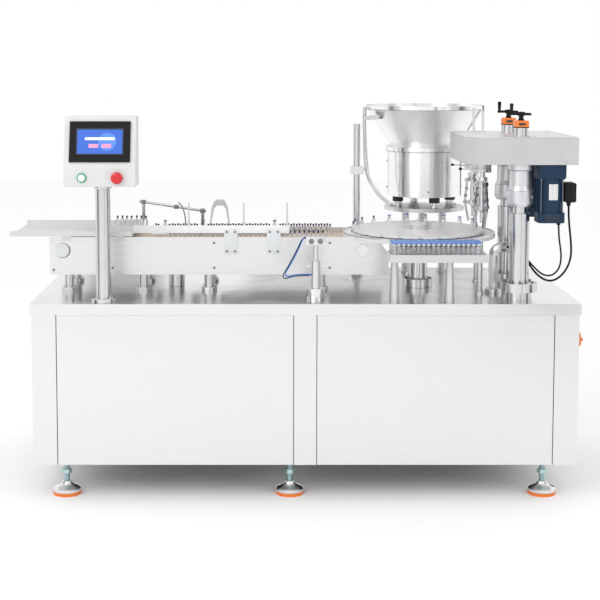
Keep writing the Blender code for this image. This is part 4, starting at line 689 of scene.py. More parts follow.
@dataclass(frozen=True)
class OperatorPanel:
    """The panel on its post: white box, screen with plain fields, lit start and mushroom stop."""

    x: float = -0.670
    post_y: float = 0.050
    deck: float = DECK_TOP
    box_width: float = 0.235
    box_front: float = -0.030
    box_bottom: float = 1.053
    lower: float = 0.062
    upper: float = 0.166
    lean: float = 0.050
    depth: float = 0.105

    def face(self) -> Matrix:
        """Where the sloped face's middle lies: x across, z up the slope, y into the box."""
        angle = math.atan2(self.lean, self.upper)
        middle = Vector((self.x, self.box_front + self.lean / 2,
                         self.box_bottom + self.lower + self.upper / 2))
        return Matrix.Translation(middle) @ Matrix.Rotation(-angle, 4, "X")

    def build(self, shop: Workshop) -> None:
        """Dresses the panel's nodes and adds what is too fine for them."""
        foot = self.deck + 0.0130
        post = Shape().lathe([(0, 1.0527), (0.0250, 1.0527), (0.0250, foot), (0.0400, foot),
                              (0.0410, foot - 0.001), (0.0410, self.deck),
                              (0, self.deck)], (self.x, self.post_y, 0), 56)
        stand_in(shop, "panel_post", post, "mirror")
        shop.dress("panel_box", "white_paint")
        shop.dress("screen_bezel", "black")
        shop.dress("touch_screen", "screen")
        shop.dress("start_ring", "green")
        shop.dress("start_button", "lens")
        shop.dress("stop_button", "red")
        self.bolt_flange(shop)
        self.mark_screen(shop)
        self.line_edges(shop)

    def bolt_flange(self, shop: Workshop) -> None:
        """Screws the post's flange to the deck and puts a collar under the box."""
        bolts = Shape()
        for x, y in ring(4, 0.033, 45):
            bolts.screw_head((self.x + x, self.post_y + y, self.deck + 0.0132), (0, 0, 1), 0.0042, 0.0032)
        bolts.piece(shop, "panel_post_bolts", "chrome")
        collar = Shape().hoop([(0.0253, -0.0006), (0.0310, -0.0006), (0.0310, -0.0080), (0.0280, -0.0115),
                               (0.0253, -0.0115)], (self.x, self.post_y, self.box_bottom), 36)
        collar.piece(shop, "panel_post_collar", "satin")

    def mark_screen(self, shop: Workshop) -> None:
        """Lays plain fields and keys on the screen, with no lettering."""
        face = self.face()
        front = -0.0057

        def field(left: float, low: float, width: float, height: float) -> Shape:
            """One thin field on the screen's face."""
            return Shape().block((left, front - 0.0004, low), (left + width, front - 0.00005, low + height),
                                 face)

        disc = Shape().plate([(0.024 + x, z) for x, z in ring(40, 0.030)], 0.0, 0.00004,
                             face @ Matrix.Translation((0, front, 0)) @ Matrix.Rotation(math.pi / 2, 4, "X"))
        disc.piece(shop, "screen_round_field", "screen_pale")
        field(-0.0480, 0.0050, 0.0960, 0.0090).piece(shop, "screen_title_bar", "screen_white")
        keys = field(-0.0360, -0.0210, 0.0310, 0.0130)
        keys.block((0.0060, front - 0.0004, -0.0210), (0.0370, front - 0.00005, -0.0080), face)
        keys.piece(shop, "screen_soft_keys", "screen_pink")

    def line_edges(self, shop: Workshop) -> None:
        """Adds the bezel's inner lip, the seam round the box's back and its screws."""
        face = self.face()
        lip = Shape()
        half_w, half_h, wide = 0.0745, 0.0415, 0.0026
        for low, high in (((-half_w - wide, -half_h - wide), (half_w + wide, -half_h)),
                          ((-half_w - wide, half_h), (half_w + wide, half_h + wide)),
                          ((-half_w - wide, -half_h), (-half_w, half_h)),
                          ((half_w, -half_h), (half_w + wide, half_h))):
            lip.block((low[0], -0.0075, low[1]), (high[0], -0.0064, high[1]), face)
        lip.piece(shop, "screen_lip", "gasket")
        back = self.box_front + self.depth
        seam = Shape()
        half = self.box_width / 2
        top = self.box_bottom + self.lower + self.upper
        seam.block((self.x - half - 0.0001, back - 0.0200, self.box_bottom + 0.003),
                   (self.x - half + 0.0010, back - 0.0188, top - 0.003))
        seam.block((self.x + half - 0.0010, back - 0.0200, self.box_bottom + 0.003),
                   (self.x + half + 0.0001, back - 0.0188, top - 0.003))
        seam.piece(shop, "panel_box_seam", "gasket")
        screws = Shape()
        for x in (-half + 0.012, half - 0.012):
            for z in (self.box_bottom + 0.014, top - 0.014):
                screws.screw_head((self.x + x, back + 0.0001, z), (0, 1, 0), 0.0036, 0.0022)
        screws.piece(shop, "panel_box_screws", "chrome")


@dataclass(frozen=True)
class Conveyor:
    """The belt conveyor with its bearing caps, screws and the loading tray over its left end."""

    left: float = -0.881
    right: float = 0.295
    front: float = 0.240
    back: float = 0.520
    top: float = 0.842
    bottom: float = 0.724
    roller_z: float = 0.809
    rollers: tuple[float, float] = (-0.836, 0.205)
    leg_xs: tuple[float, ...] = (-0.820, -0.560, -0.330, 0.060)
    leg_inset: float = 0.045

    def build(self, shop: Workshop) -> None:
        """Dresses the conveyor and the tray and adds their fastenings."""
        shop.dress("conveyor_frame", "sheet")
        shop.dress("loading_tray", "dull_sheet")
        shop.dress("conveyor_belt", "belt")
        shop.dress("head_roller tail_roller", "turned")
        caps, screws = Shape(), Shape()
        for x in self.rollers:
            for y, out in ((self.front, -1), (self.back, 1)):
                if out > 0 or x > 0:
                    caps.rod((x, y + out * TOUCH, self.roller_z), (x, y + out * 0.0032, self.roller_z),
                             0.022, sides=36, rounded=0.0008)
                reach = 0.0042 if out < 0 and x < 0 else 0.0034
                for dx, dz in ring(4, 0.0165, 45):
                    screws.screw_head((x + dx, y + out * reach, self.roller_z + dz), (0, out, 0), 0.0026,
                                      0.0018)
        for x in self.leg_xs:
            for y, out in ((self.front, -1), (self.back, 1)):
                for dx in (-0.022, 0.022):
                    screws.screw_head((x + dx, y + out * TOUCH, self.bottom + 0.0065), (0, out, 0), 0.0032,
                                      0.0022)
        caps.piece(shop, "roller_bearing_caps", "chrome")
        screws.piece(shop, "conveyor_screws", "chrome")
        self.hem_edges(shop)

    def hem_edges(self, shop: Workshop) -> None:
        """Adds the side plates' upper strips and screws, the tail roller's cover and the legs' bolts."""
        hems = Shape()
        for y in (self.front + 0.0002, self.back - 0.0027):
            hems.block((self.left + 0.001, y, self.top + 0.0001),
                       (self.right - 0.050, y + 0.0025, self.top + 0.0130))
        hems.piece(shop, "side_plate_strips", "sheet")
        plate_screws = Shape()
        for x, z in ((-0.3104, 0.8343), (-0.3104, 0.7473), (-0.662, 0.7473), (-0.867, 0.7404),
                     (0.090, 0.8343), (0.090, 0.7473)):
            plate_screws.screw_head((x, self.front - 0.0001, z), (0, -1, 0), 0.0045, 0.0030)
        plate_screws.piece(shop, "side_plate_screws", "dark_steel")
        cap = Shape().lathe([(0, 0.0034), (0.0235, 0.0034), (0.0252, 0.0018), (0.0252, 0), (0, 0)],
                            (0, 0, 0), 40,
                            Matrix.Translation((self.rollers[0], self.front - 0.0044, self.roller_z))
                            @ Matrix.Rotation(math.pi / 2, 4, "X"))
        cap.piece(shop, "tail_roller_cover", "pale_plastic")
        # A dark disc set behind the tail roller's cover and shifted right and down: painted shadow of the
        # cover, not a seal.
        shade = Shape().lathe([(0, 0.0040), (0.0262, 0.0040), (0.0262, 0), (0, 0)], (0, 0, 0), 40,
                              Matrix.Translation((self.rollers[0] + 0.0012, self.front - 0.0002,
                                                  self.roller_z - 0.0008))
                              @ Matrix.Rotation(math.pi / 2, 4, "X"))
        shade.piece(shop, "tail_roller_painted_shadow", "gasket")
        bolts = Shape()
        for x in self.leg_xs:
            for y in (self.front + self.leg_inset, self.back - self.leg_inset):
                for dx, dy in ring(4, 0.026, 45):
                    bolts.screw_head((x + dx, y + dy, 0.6755), (0, 0, 1), 0.0036, 0.0030)
        bolts.piece(shop, "conveyor_leg_bolts", "chrome")
        self.sleeve_legs(shop)

    def sleeve_legs(self, shop: Workshop) -> None:
        """Slides a thin drawn tube over each leg and over the drive's column."""
        sleeves = Shape()
        for x in self.leg_xs:
            for y in (self.front + self.leg_inset, self.back - self.leg_inset):
                sleeves.hoop([(0.0162, 0.7225), (0.0172, 0.7225), (0.0172, 0.6757), (0.0162, 0.6757)],
                             (x, y, 0), 40)
        sleeves.hoop([(0.0273, 0.7110), (0.0284, 0.7110), (0.0284, 0.6637), (0.0273, 0.6637)],
                     (-0.450, 0.380, 0), 48)
        sleeves.piece(shop, "conveyor_leg_sleeves", "mirror")


class Cap(Enum):
    """The closures that vials carry: finish of the disc and of the skirt under it."""

    BLUE = ("vial_blue", "alloy")
    STOPPER = ("stopper", "stopper")


@dataclass(frozen=True)
class Vial:
    """A small injection vial, 16 mm across and 38 mm high with its closure."""

    radius: float = 0.0078
    height: float = 0.038
    neck: float = 0.0047
    cap_radius: float = 0.0066

    def glass(self, shape: Shape, place: Point, sides: int = 14) -> None:
        """Adds the glass body as one solid form.

        Args:
            shape: The shape that gathers all glass of a group.
            place: The middle of the vial's foot.
            sides: How many flats go round.
        """
        r, neck = self.radius, self.neck
        outside = [(0, 0.0285), (neck, 0.0285), (neck, 0.0262), (r * 0.93, 0.0225), (r, 0.0205), (r, 0.0010),
                   (r - 0.0010, 0.0), (0, 0.0)]
        shape.lathe(outside, place, sides)

    def closure(self, disc: Shape, skirt: Shape, place: Point, cap: Cap, sides: int = 14) -> None:
        """Adds the closure: a bare stopper, or a flat disc on a crimped skirt.

        Args:
            disc: The shape that gathers the discs.
            skirt: The shape that gathers the skirts.
            place: The middle of the vial's foot.
            cap: Which closure it is.
            sides: How many flats go round.
        """
        r = self.cap_radius
        if cap is Cap.STOPPER:
            skirt.lathe([(0, 0.0345), (0.0028, 0.0345), (0.0026, 0.0287), (0, 0.0287)], place, sides)
            disc.lathe([(0, self.height), (0.0042, self.height), (0.0045, 0.0375), (0.0036, 0.0346),
                        (0, 0.0346)], place, sides)
            return
        skirt.lathe([(0, 0.0350), (r * 0.92, 0.0350), (r * 0.95, 0.0344), (r * 0.95, 0.0294),
                     (r * 0.82, 0.0287), (0, 0.0287)], place, sides)
        disc.lathe([(0, self.height), (r * 0.90, self.height), (r * 1.05, 0.0374), (r * 1.05, 0.0351),
                    (0, 0.0351)], place, sides)


def stand_vials(shop: Workshop, name: str, places: Iterable[Point], cap: Cap, body: str = "machine") -> None:
    """Stands a group of vials as three pieces: glass, skirts and discs.

    Args:
        shop: The workshop.
        name: The group's name.
        places: The middle of each vial's foot.
        cap: Which closure they carry.
        body: The frame body that carries them.
    """
    vial = Vial()
    glass, skirts, discs = Shape(), Shape(), Shape()
    for place in places:
        vial.glass(glass, place)
        vial.closure(discs, skirts, place, cap)
    glass.piece(shop, f"{name}_glass", "glass", body)
    disc_finish, skirt_finish = cap.value
    skirts.piece(shop, f"{name}_skirts", skirt_finish, body)
    discs.piece(shop, f"{name}_caps", disc_finish, body)


@dataclass(frozen=True)
class Guides:
    """What steers the vials along the belt: white rail, inner rail, arch guard and gate bar."""

    rail_front: float = 0.2357
    rail_left: float = -0.590
    rail_right: float = -0.050
    rail_low: float = 0.869
    rail_high: float = 0.895
    brackets: tuple[float, ...] = (-0.252, -0.104)
    rods: tuple[float, ...] = (-0.3975, -0.2075, -0.0575)
    arms: tuple[float, ...] = (-0.500, -0.360, -0.100)

    def build(self, shop: Workshop) -> None:
        """Builds the rail in its own finishes and dresses the rest."""
        shop.dress("inner_rail", "satin")
        self.bend_arch(shop)
        self.set_gate(shop)
        rail = Shape().block((self.rail_left, self.rail_front, self.rail_low),
                             (self.rail_right, self.rail_front + 0.010, self.rail_high), soften=0.0012)
        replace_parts(rail.piece(shop, "guide_rail_bar", "white_plastic"), "guide_rail")
        plates, screws, rods, knobs = Shape(), Shape(), Shape(), Shape()
        for x in self.brackets:
            plates.block((x - 0.0235, self.rail_front - 0.0020, 0.796),
                         (x + 0.0235, self.rail_front - TOUCH, 0.884), soften=0.0006)
            for dx, z in ((-0.014, 0.806), (0.014, 0.806), (-0.014, 0.874), (0.014, 0.874)):
                screws.screw_head((x + dx, self.rail_front - 0.0020, z), (0, -1, 0), 0.0040, 0.0028)
            plates.block((x - 0.0235, self.rail_front - TOUCH, 0.798), (x + 0.0235, 0.2397, 0.840))
        for x in self.rods:
            y = self.rail_front + 0.005
            rods.rod((x, y, self.rail_high), (x, y, 0.9745), 0.0025, sides=14, rounded=0.0006)
            knobs.lathe([(0, 0.0120), (0.0045, 0.0120), (0.0055, 0.0108), (0.0055, 0.0012), (0.0045, 0.0),
                         (0, 0.0)], (x, y, self.rail_high + TOUCH), 16)
        plates.piece(shop, "guide_rail_brackets", "pale_plastic")
        screws.piece(shop, "guide_rail_bracket_screws", "dark_steel")
        rods.piece(shop, "guide_rail_rods", "chrome")
        knobs.piece(shop, "guide_rail_rod_nuts", "chrome")
        self.clamp_arms(shop)

    def bend_arch(self, shop: Workshop) -> None:
        """Bends the sheet arch over the lane: broad at its crown and narrow at its feet."""
        x, y, low = -0.292, 0.2697, 0.8763
        outer = [(-0.038, 0.0), (-0.027, 0.080), (-0.020, 0.097), (-0.010, 0.105), (0.010, 0.105),
                 (0.020, 0.097), (0.028, 0.080), (0.038, 0.0)]
        inner = [(0.0345, 0.0), (0.022, 0.072), (0.012, 0.085), (-0.010, 0.085), (-0.020, 0.072),
                 (-0.0345, 0.0)]
        turn = Matrix.Translation((x, y + 0.024, low)) @ Matrix.Rotation(math.pi / 2, 4, "X")
        arch = Shape().plate(outer + inner, 0.0, 0.024, turn)
        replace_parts(arch.piece(shop, "sheet_arch", "dark_chrome", bevel=0.0005), "arch_guard")
        finger = [Vector(point) for point in ((-0.4105, 0.2737, 0.8760), (-0.4110, 0.2745, 0.905),
                                              (-0.4150, 0.2760, 0.934), (-0.4250, 0.2780, 0.9610),
                                              (-0.4360, 0.2790, 0.9720))]
        Shape().tube(smooth_line(finger, 0.005), 0.0022, 10).piece(shop, "lane_finger", "dark_steel")

    def set_gate(self, shop: Workshop) -> None:
        """Sets the gate's bar on its two posts, falling towards the arch."""
        back, front = Vector((-0.580, 0.517, 0.9560)), Vector((-0.360, 0.440, 0.9320))
        bars = Shape().rod((back.x, back.y, 0.8423), back, 0.006, sides=16, rounded=0.0008)
        bars.rod((front.x, front.y, 0.8703), front, 0.006, sides=16, rounded=0.0008)
        along = (front - back).normalized()
        drop = Vector((0, 0, 0.007))
        bars.rod(back - along * 0.016 - drop, front + along * 0.012 - drop, 0.0050, sides=14, rounded=0.0006)
        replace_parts(bars.piece(shop, "gate_on_posts", "dark_chrome"), "gate_bar")
        clamps = Shape()
        for place in (back, back.lerp(front, 0.56), front):
            clamps.block(place - drop - Vector((0.0085, 0.0085, 0.0070)),
                         place - drop + Vector((0.0085, 0.0085, 0.0070)), soften=0.0010)
        clamps.piece(shop, "gate_clamps", "dark_steel")

    def clamp_arms(self, shop: Workshop) -> None:
        """Adds the thumb screws that hold the inner rail's cross arms."""
        knobs, stems = Shape(), Shape()
        for x in self.arms:
            for y in (0.500, 0.285):
                stems.rod((x, y, 0.8702), (x, y, 0.8770), 0.0026, sides=12)
                knobs.lathe([(0, 0.0095), (0.0050, 0.0095), (0.0068, 0.0080), (0.0068, 0.0015),
                             (0.0050, 0.0), (0, 0.0)], (x, y, 0.8771), 18)
        stems.piece(shop, "cross_arm_studs", "chrome")
        knobs.piece(shop, "cross_arm_thumb_nuts", "chrome")


@dataclass(frozen=True)
class Sensor:
    """The vial sensor on its telescopic post, with two knurled heads and its leads."""

    x: float = 0.035
    y: float = 0.060
    deck: float = DECK_TOP
    lead_radius: float = 0.0018

    def build(self, shop: Workshop) -> None:
        """Builds the post, the block and the two leads."""
        post = Shape().lathe([(0, 0.800), (0.0145, 0.800), (0.0155, 0.799), (0.0155, self.deck + 0.0440),
                              (0.0280, self.deck + 0.0440), (0.0290, self.deck + 0.0430),
                              (0.0290, self.deck + 0.001), (0.0285, self.deck),
                              (0, self.deck)], (self.x, self.y, 0), 36)
        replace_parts(post.piece(shop, "sensor_post", "turned"), "sensor_stand")
        Shape().rod((self.x, self.y, 0.8002), (self.x, self.y, 0.8538), 0.0085, sides=24).piece(
            shop, "sensor_inner_rod", "chrome")
        block = Shape().block((self.x - 0.033, self.y - 0.015, 0.854),
                              (self.x + 0.033, self.y + 0.015, 0.878), soften=0.0012)
        block.piece(shop, "sensor_block", "satin")
        heads = Shape()
        for dx in (-0.0150, 0.0150):
            turn = (Matrix.Translation((self.x + dx, self.y - 0.0151, 0.866))
                    @ Matrix.Rotation(math.pi / 2, 4, "X"))
            heads.lathe([(0, 0.0070), (0.0052, 0.0070), (0.0058, 0.0095), (0.0076, 0.0095), (0.0088, 0.0085),
                         (0.0088, 0.0050), (0.0080, 0.0042), (0.0088, 0.0034), (0.0088, 0.0002),
                         (0, 0.0002)], (0, 0, 0), 28, turn)
        heads.piece(shop, "sensor_knurled_heads", "dark_steel")
        eye = Shape().rod((self.x, self.y + 0.0151, 0.866), (self.x, self.y + 0.024, 0.866), 0.0060,
                          sides=24, rounded=0.0006)
        eye.piece(shop, "sensor_eye", "black")
        screws = Shape().rod((self.x - 0.030, self.y, 0.780), (self.x - 0.0160, self.y, 0.780), 0.0040,
                             sides=14)
        screws.rod((self.x + 0.0160, self.y, 0.780), (self.x + 0.030, self.y, 0.780), 0.0040, sides=14)
        for dx, dy in ring(4, 0.0225, 45):
            screws.screw_head((self.x + dx, self.y + dy, self.deck + 0.0441), (0, 0, 1), 0.0028, 0.0022)
        screws.piece(shop, "sensor_clamp_screws", "chrome")
        self.run_leads(shop)

    def run_leads(self, shop: Workshop) -> None:
        """Runs the blue and the black lead from the block in one drooping bight to the post."""
        left = self.x - 0.033
        line = [(left - 0.0035, self.y, 0.8775), (left - 0.0120, self.y - 0.002, 0.8680),
                (left - 0.030, self.y - 0.004, 0.830), (left - 0.052, self.y - 0.006, 0.788),
                (left - 0.071, self.y - 0.006, 0.754), (left - 0.064, self.y - 0.006, 0.743),
                (left - 0.040, self.y - 0.004, 0.749), (left - 0.012, self.y - 0.002, 0.751),
                (self.x - 0.0160, self.y, 0.751)]
        apart = (1.0, 1.3, 1.8, 2.0, 2.0, 2.0, 1.8, 1.3, 1.0)
        for name, finish, aside in (("sensor_lead_blue", "blue_lead", 0.0019),
                                    ("sensor_lead_black", "lead", -0.0019)):
            points = [spot(x + aside * share, y, z + aside * share * 0.8)
                      for (x, y, z), share in zip(line, apart)]
            route = smooth_line(points, 0.004)
            tube = Shape().tube([point + ORIGIN for point in route], self.lead_radius, 10)
            lead = tube.piece(shop, name, finish)
            if finish == "blue_lead":
                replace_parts(lead, "sensor_lead")
        gland = Shape().rod((left - 0.0002, self.y, 0.8735), (left - 0.0040, self.y, 0.8760), 0.0036, 0.0030,
                            sides=16)
        gland.piece(shop, "sensor_lead_gland", "black")


@dataclass(frozen=True)
class Dial:
    """The dial plate and its star wheel, with capped vials in the pockets at the back."""

    x: float = 0.410
    y: float = 0.365
    top: float = 0.857
    radius: float = 0.270
    pocket_circle: float = 0.231
    pockets: int = 21
    hub_radius: float = 0.045
    leg_angles: tuple[float, ...] = (-38.0, 25.0, 90.0)
    leg_inset: float = 0.022

    def build(self, shop: Workshop) -> None:
        """Dresses the dial and fills its rear pockets."""
        shop.dress("dial_plate", "pale_plastic")
        shop.dress("star_wheel", "pale_alloy")
        bolts = Shape()
        for x, y in ring(4, 0.0335, 45):
            bolts.screw_head((self.x + x, self.y + y, self.top + 0.0205), (0, 0, 1), 0.0042, 0.0034)
        bolts.piece(shop, "star_wheel_bolts", "chrome", "star_wheel")
        knob = Shape().lathe([(0, 0.0110), (0.0090, 0.0110), (0.0105, 0.0098), (0.0105, 0.0002),
                              (0, 0.0002)], (self.x, self.y, self.top + 0.032), 28)
        knob.piece(shop, "star_wheel_centre_nut", "chrome", "star_wheel")
        hub = Shape().hoop([(self.hub_radius - 0.0110, 0.0300), (self.hub_radius + 0.0005, 0.0300),
                            (self.hub_radius + 0.0015, 0.0290), (self.hub_radius + 0.0015, 0.0108),
                            (self.hub_radius - 0.0110, 0.0108)], (self.x, self.y, self.top), 56)
        hub.piece(shop, "star_wheel_hub_ring", "dull_sheet", "star_wheel")
        for name, cap, first, last in (("capped", Cap.BLUE, 20, 128), ("open", Cap.STOPPER, 128, 190)):
            places = []
            for index in range(self.pockets):
                angle = 360 / self.pockets * (index + 0.5)
                if first < angle < last:
                    x, y = ring(1, self.pocket_circle, angle)[0]
                    places.append((self.x + x, self.y + y, self.top + 0.0001))
            stand_vials(shop, f"star_wheel_{name}_vials", places, cap, "star_wheel")
        rim = Shape().hoop([(self.radius - 0.0040, 0.0050), (self.radius - 0.0012, 0.0050),
                            (self.radius - 0.0012, 0.0001),
                            (self.radius - 0.0040, 0.0001)], (self.x, self.y, self.top), 96)
        rim.piece(shop, "dial_rim", "satin")
        self.bolt_legs(shop)

    def bolt_legs(self, shop: Workshop) -> None:
        """Adds the collars at the feet of the dial's legs, and the tubes round legs and column."""
        feet, tubes = Shape(), Shape()
        tubes.hoop([(0.0303, 0.8446), (0.0313, 0.8446), (0.0313, 0.6938), (0.0303, 0.6938)],
                   (self.x, self.y, 0), 48)
        tubes.hoop([(0.0483, 0.6931), (0.0493, 0.6921), (0.0493, 0.6637), (0.0483, 0.6637)],
                   (self.x, self.y, 0), 56)
        for angle in self.leg_angles:
            x, y = ring(1, self.radius - self.leg_inset, angle)[0]
            tubes.hoop([(0.0102, 0.8446), (0.0110, 0.8446), (0.0110, 0.6737), (0.0102, 0.6737)],
                       (self.x + x, self.y + y, 0), 32)
            feet.hoop([(0.0102, 0.010), (0.0150, 0.010), (0.0165, 0.0085), (0.0165, 0.0002),
                       (0.0102, 0.0002)], (self.x + x, self.y + y, DECK_TOP), 24)
        feet.piece(shop, "dial_leg_collars", "chrome")
        tubes.piece(shop, "dial_leg_tubes", "mirror")


@dataclass(frozen=True)
class Vials:
    """The vials waiting on the belt and on the loading tray, with dark stoppers."""

    belt_y: float = 0.2577
    belt_top: float = 0.8381
    first: float = -0.468
    last: float = 0.060
    pitch: float = 0.0162
    crowd_first: float = -0.530
    crowd_last: float = 0.105
    crowd_step: float = 0.0100
    crowd_y: float = 0.462
    crowd_depth: float = 0.0145
    arms: tuple[float, ...] = (-0.500, -0.360, -0.100)
    arm_room: float = 0.0165
    tray_top: float = 0.8654
    loose: tuple[float, ...] = (-0.670, -0.653, -0.636, -0.619, -0.601, -0.584, -0.567)

    def build(self, shop: Workshop) -> None:
        """Stands a single row in the lane, two staggered rows behind it and a loose row on the tray."""
        count = round((self.last - self.first) / self.pitch)
        row = [(self.first + index * self.pitch, self.belt_y, self.belt_top) for index in range(count + 1)]
        stand_vials(shop, "lane_vials", row, Cap.STOPPER)
        crowd = []
        for index in range(round((self.crowd_last - self.crowd_first) / self.crowd_step)):
            x = self.crowd_first + index * self.crowd_step
            if all(abs(x - arm) > self.arm_room for arm in self.arms):
                crowd.append((x, self.crowd_y - (index % 2) * self.crowd_depth, self.belt_top))
        stand_vials(shop, "belt_vials", crowd, Cap.STOPPER)
        loose = [(x, 0.470 + 0.006 * math.sin(index * 1.9), self.tray_top)
                 for index, x in enumerate(self.loose)]
        stand_vials(shop, "tray_vials", loose, Cap.STOPPER)


@dataclass(frozen=True)
class DischargeTray:
    """The tray that gathers finished vials, packed in staggered rows."""

    left: float = 0.276
    right: float = 0.596
    front: float = -0.020
    back: float = 0.090
    top: float = 0.829
    columns: int = 18
    rows: int = 7
    pitch: float = 0.0163
    row_pitch: float = 0.0142

    def build(self, shop: Workshop) -> None:
        """Dresses the tray, packs it with vials and adds its fastenings."""
        shop.dress("discharge_tray", "dull_sheet")
        places = []
        for row in range(self.rows):
            shift = self.pitch / 2 if row % 2 else 0.0
            for column in range(self.columns):
                places.append((self.left + 0.0125 + column * self.pitch + shift,
                               self.front + 0.0108 + row * self.row_pitch, self.top + 0.0001))
        stand_vials(shop, "tray_row", places, Cap.BLUE)
        screws = Shape()
        for x in (self.left + 0.020, self.left + 0.203):
            for dx, dy in ring(3, 0.0142, 30):
                screws.screw_head((x + dx, 0.040 + dy, 0.6703), (0, 0, 1), 0.0022, 0.0016)
        screws.piece(shop, "discharge_tray_screws", "chrome")


@dataclass(frozen=True)
class CapFeeder:
    """The vibrating cap feeder: drum on rubber feet, hopper full of caps, chute and its mast."""

    x: float = 0.468
    y: float = 0.700
    plate_top: float = 0.918
    foot_circle: float = 0.105
    drum_low: float = 0.9583
    drum_top: float = 1.1433
    drum_radius: float = 0.140
    cone_low: float = 1.1436
    cone_top: float = 1.2986
    rim: float = 0.222
    neck: float = 0.128
    mast: tuple[float, float] = (0.205, 0.600)
    mast_top: float = 1.230
    clamp_z: float = 1.060

    def build(self, shop: Workshop) -> None:
        """Dresses the feeder and adds its feet, bands, caps and fastenings."""
        shop.dress("feeder_plate", "dull_sheet")
        self.spin_bowl(shop)
        self.make_feet(shop)
        self.band_drum(shop)
        self.heap_caps(shop)
        self.fit_mast(shop)
        self.hang_chute(shop)

    def spin_bowl(self, shop: Workshop) -> None:
        """Spins the drum and the hopper cone with their rolled edges."""
        band = self.drum_radius + 0.006
        drum = Shape().lathe([(0, self.drum_top), (band - 0.001, self.drum_top),
                              (band, self.drum_top - 0.001), (band, self.drum_top - 0.0155),
                              (band - 0.0010, self.drum_top - 0.0165),
                              (self.drum_radius, self.drum_top - 0.0180),
                              (self.drum_radius, self.drum_low + 0.001),
                              (self.drum_radius - 0.001, self.drum_low), (0, self.drum_low)],
                             (self.x, self.y, 0), 112)
        stand_in(shop, "feeder_drum", drum, "bowl")
        wall = self.rim - 0.0040
        cone = Shape().hoop([(wall, self.cone_top), (self.rim, self.cone_top),
                             (self.rim, self.cone_top - 0.014), (self.rim - 0.006, self.cone_top - 0.017),
                             (self.neck, self.cone_low), (self.neck - 0.004, self.cone_low + 0.004),
                             (wall - 0.006, self.cone_top - 0.017),
                             (wall, self.cone_top - 0.014)], (self.x, self.y, 0), 112)
        cone.lathe([(0, self.cone_low + 0.004), (self.neck - 0.0041, self.cone_low + 0.004),
                    (self.neck - 0.0041, self.cone_low), (0, self.cone_low)], (self.x, self.y, 0), 112)
        stand_in(shop, "hopper_cone", cone, "bowl")
        # Thin dark rings at the rim's inner top edge, under the rim's roll and under the drum's band:
        # painted shade that outlines these edges, not seams.
        lines = Shape()
        for radius, height in ((self.rim - 0.0036, self.cone_top),
                               (self.rim + 0.0001, self.cone_top - 0.0140),
                               (band + 0.0001, self.drum_top - 0.0158)):
            lines.hoop([(radius, height + 0.0001), (radius + 0.0005, height + 0.0001),
                        (radius + 0.0005, height - 0.0016),
                        (radius, height - 0.0016)], (self.x, self.y, 0), 112)
        lines.piece(shop, "feeder_edge_painted_shade", "dark_steel")

    def make_feet(self, shop: Workshop) -> None:
        """Wraps the drum's feet in rubber above a steel stud with its nut."""
        rubber, studs = Shape(), Shape()
        low = self.plate_top + TOUCH
        for x, y in ring(4, self.foot_circle, 15):
            place = (self.x + x, self.y + y, 0)
            rubber.lathe([(0, self.drum_low - 0.0002), (0.0192, self.drum_low - 0.0002),
                          (0.0200, self.drum_low - 0.002), (0.0200, low + 0.0200), (0.0192, low + 0.0185),
                          (0, low + 0.0185)], place, 28)
            studs.lathe([(0, low + 0.0184), (0.0150, low + 0.0184), (0.0150, low + 0.0105),
                         (0.0175, low + 0.0105), (0.0175, low + 0.0010), (0.0165, low), (0, low)], place, 28)
        rubber.piece(shop, "feeder_rubber_feet", "rubber")
        studs.piece(shop, "feeder_foot_studs", "chrome")

    def band_drum(self, shop: Workshop) -> None:
        """Adds the drum's screws, the plate's bolts and the legs' collars."""
        screws = Shape()
        for angle, rise in ((270, 0.022), (180, 0.030), (180, 0.130), (0, 0.030), (0, 0.130), (90, 0.022)):
            x, y = ring(1, self.drum_radius + 0.0002, angle)[0]
            screws.screw_head((self.x + x, self.y + y, self.drum_low + rise), (x, y, 0), 0.0034, 0.0022)
        for x, y in ring(6, 0.128, 15):
            if self.y + y < 0.795:
                screws.screw_head((self.x + x, self.y + y, self.plate_top + 0.0001), (0, 0, 1), 0.0042,
                                  0.0032)
        screws.piece(shop, "feeder_screws", "dark_steel")
        collars = Shape()
        for angle in (0, 90, 180):
            x, y = ring(1, 0.070, angle)[0]
            collars.hoop([(0.0142, 0.012), (0.0200, 0.012), (0.0215, 0.0105), (0.0215, 0.0002),
                          (0.0142, 0.0002)], (self.x + x, self.y + y, DECK_TOP), 24)
            collars.hoop([(0.0142, 0.2395), (0.0150, 0.2395), (0.0150, 0.0124), (0.0142, 0.0124)],
                         (self.x + x, self.y + y, DECK_TOP), 32)
        collars.piece(shop, "feeder_leg_collars", "mirror")

    def heap_caps(self, shop: Workshop) -> None:
        """Heaps loose blue caps on the hopper's floor, laid at fixed random places."""
        dice = random.Random(7)
        discs, skirts = Shape(), Shape()
        floor = self.cone_low + 0.0048
        heap = []
        for layer, (count, reach) in enumerate(((46, 0.108), (34, 0.100), (18, 0.070))):
            for _ in range(count * 8):
                angle, out = dice.uniform(0, math.tau), reach * math.sqrt(dice.random())
                x, y = out * math.cos(angle), out * math.sin(angle)
                if all(other[2] != layer or math.hypot(x - other[0], y - other[1]) > 0.0155
                       for other in heap):
                    heap.append((x, y, layer))
                if sum(1 for other in heap if other[2] == layer) >= count:
                    break
        for x, y, layer in heap:
            tilt = Matrix.Rotation(dice.uniform(-0.35, 0.35) * layer, 4, "X")
            turn = Matrix.Translation((self.x + x, self.y + y,
                                       floor + layer * 0.0098 + 0.0032 * bool(layer)))
            skirts.lathe([(0, 0.0058), (0.0062, 0.0058), (0.0064, 0.0008), (0.0060, 0.0), (0, 0.0)],
                         (0, 0, 0), 12, turn @ tilt)
            discs.lathe([(0, 0.0088), (0.0062, 0.0088), (0.0069, 0.0080), (0.0069, 0.0059), (0, 0.0059)],
                        (0, 0, 0), 12, turn @ tilt)
        skirts.piece(shop, "hopper_cap_skirts", "alloy")
        discs.piece(shop, "hopper_cap_discs", "vial_blue")

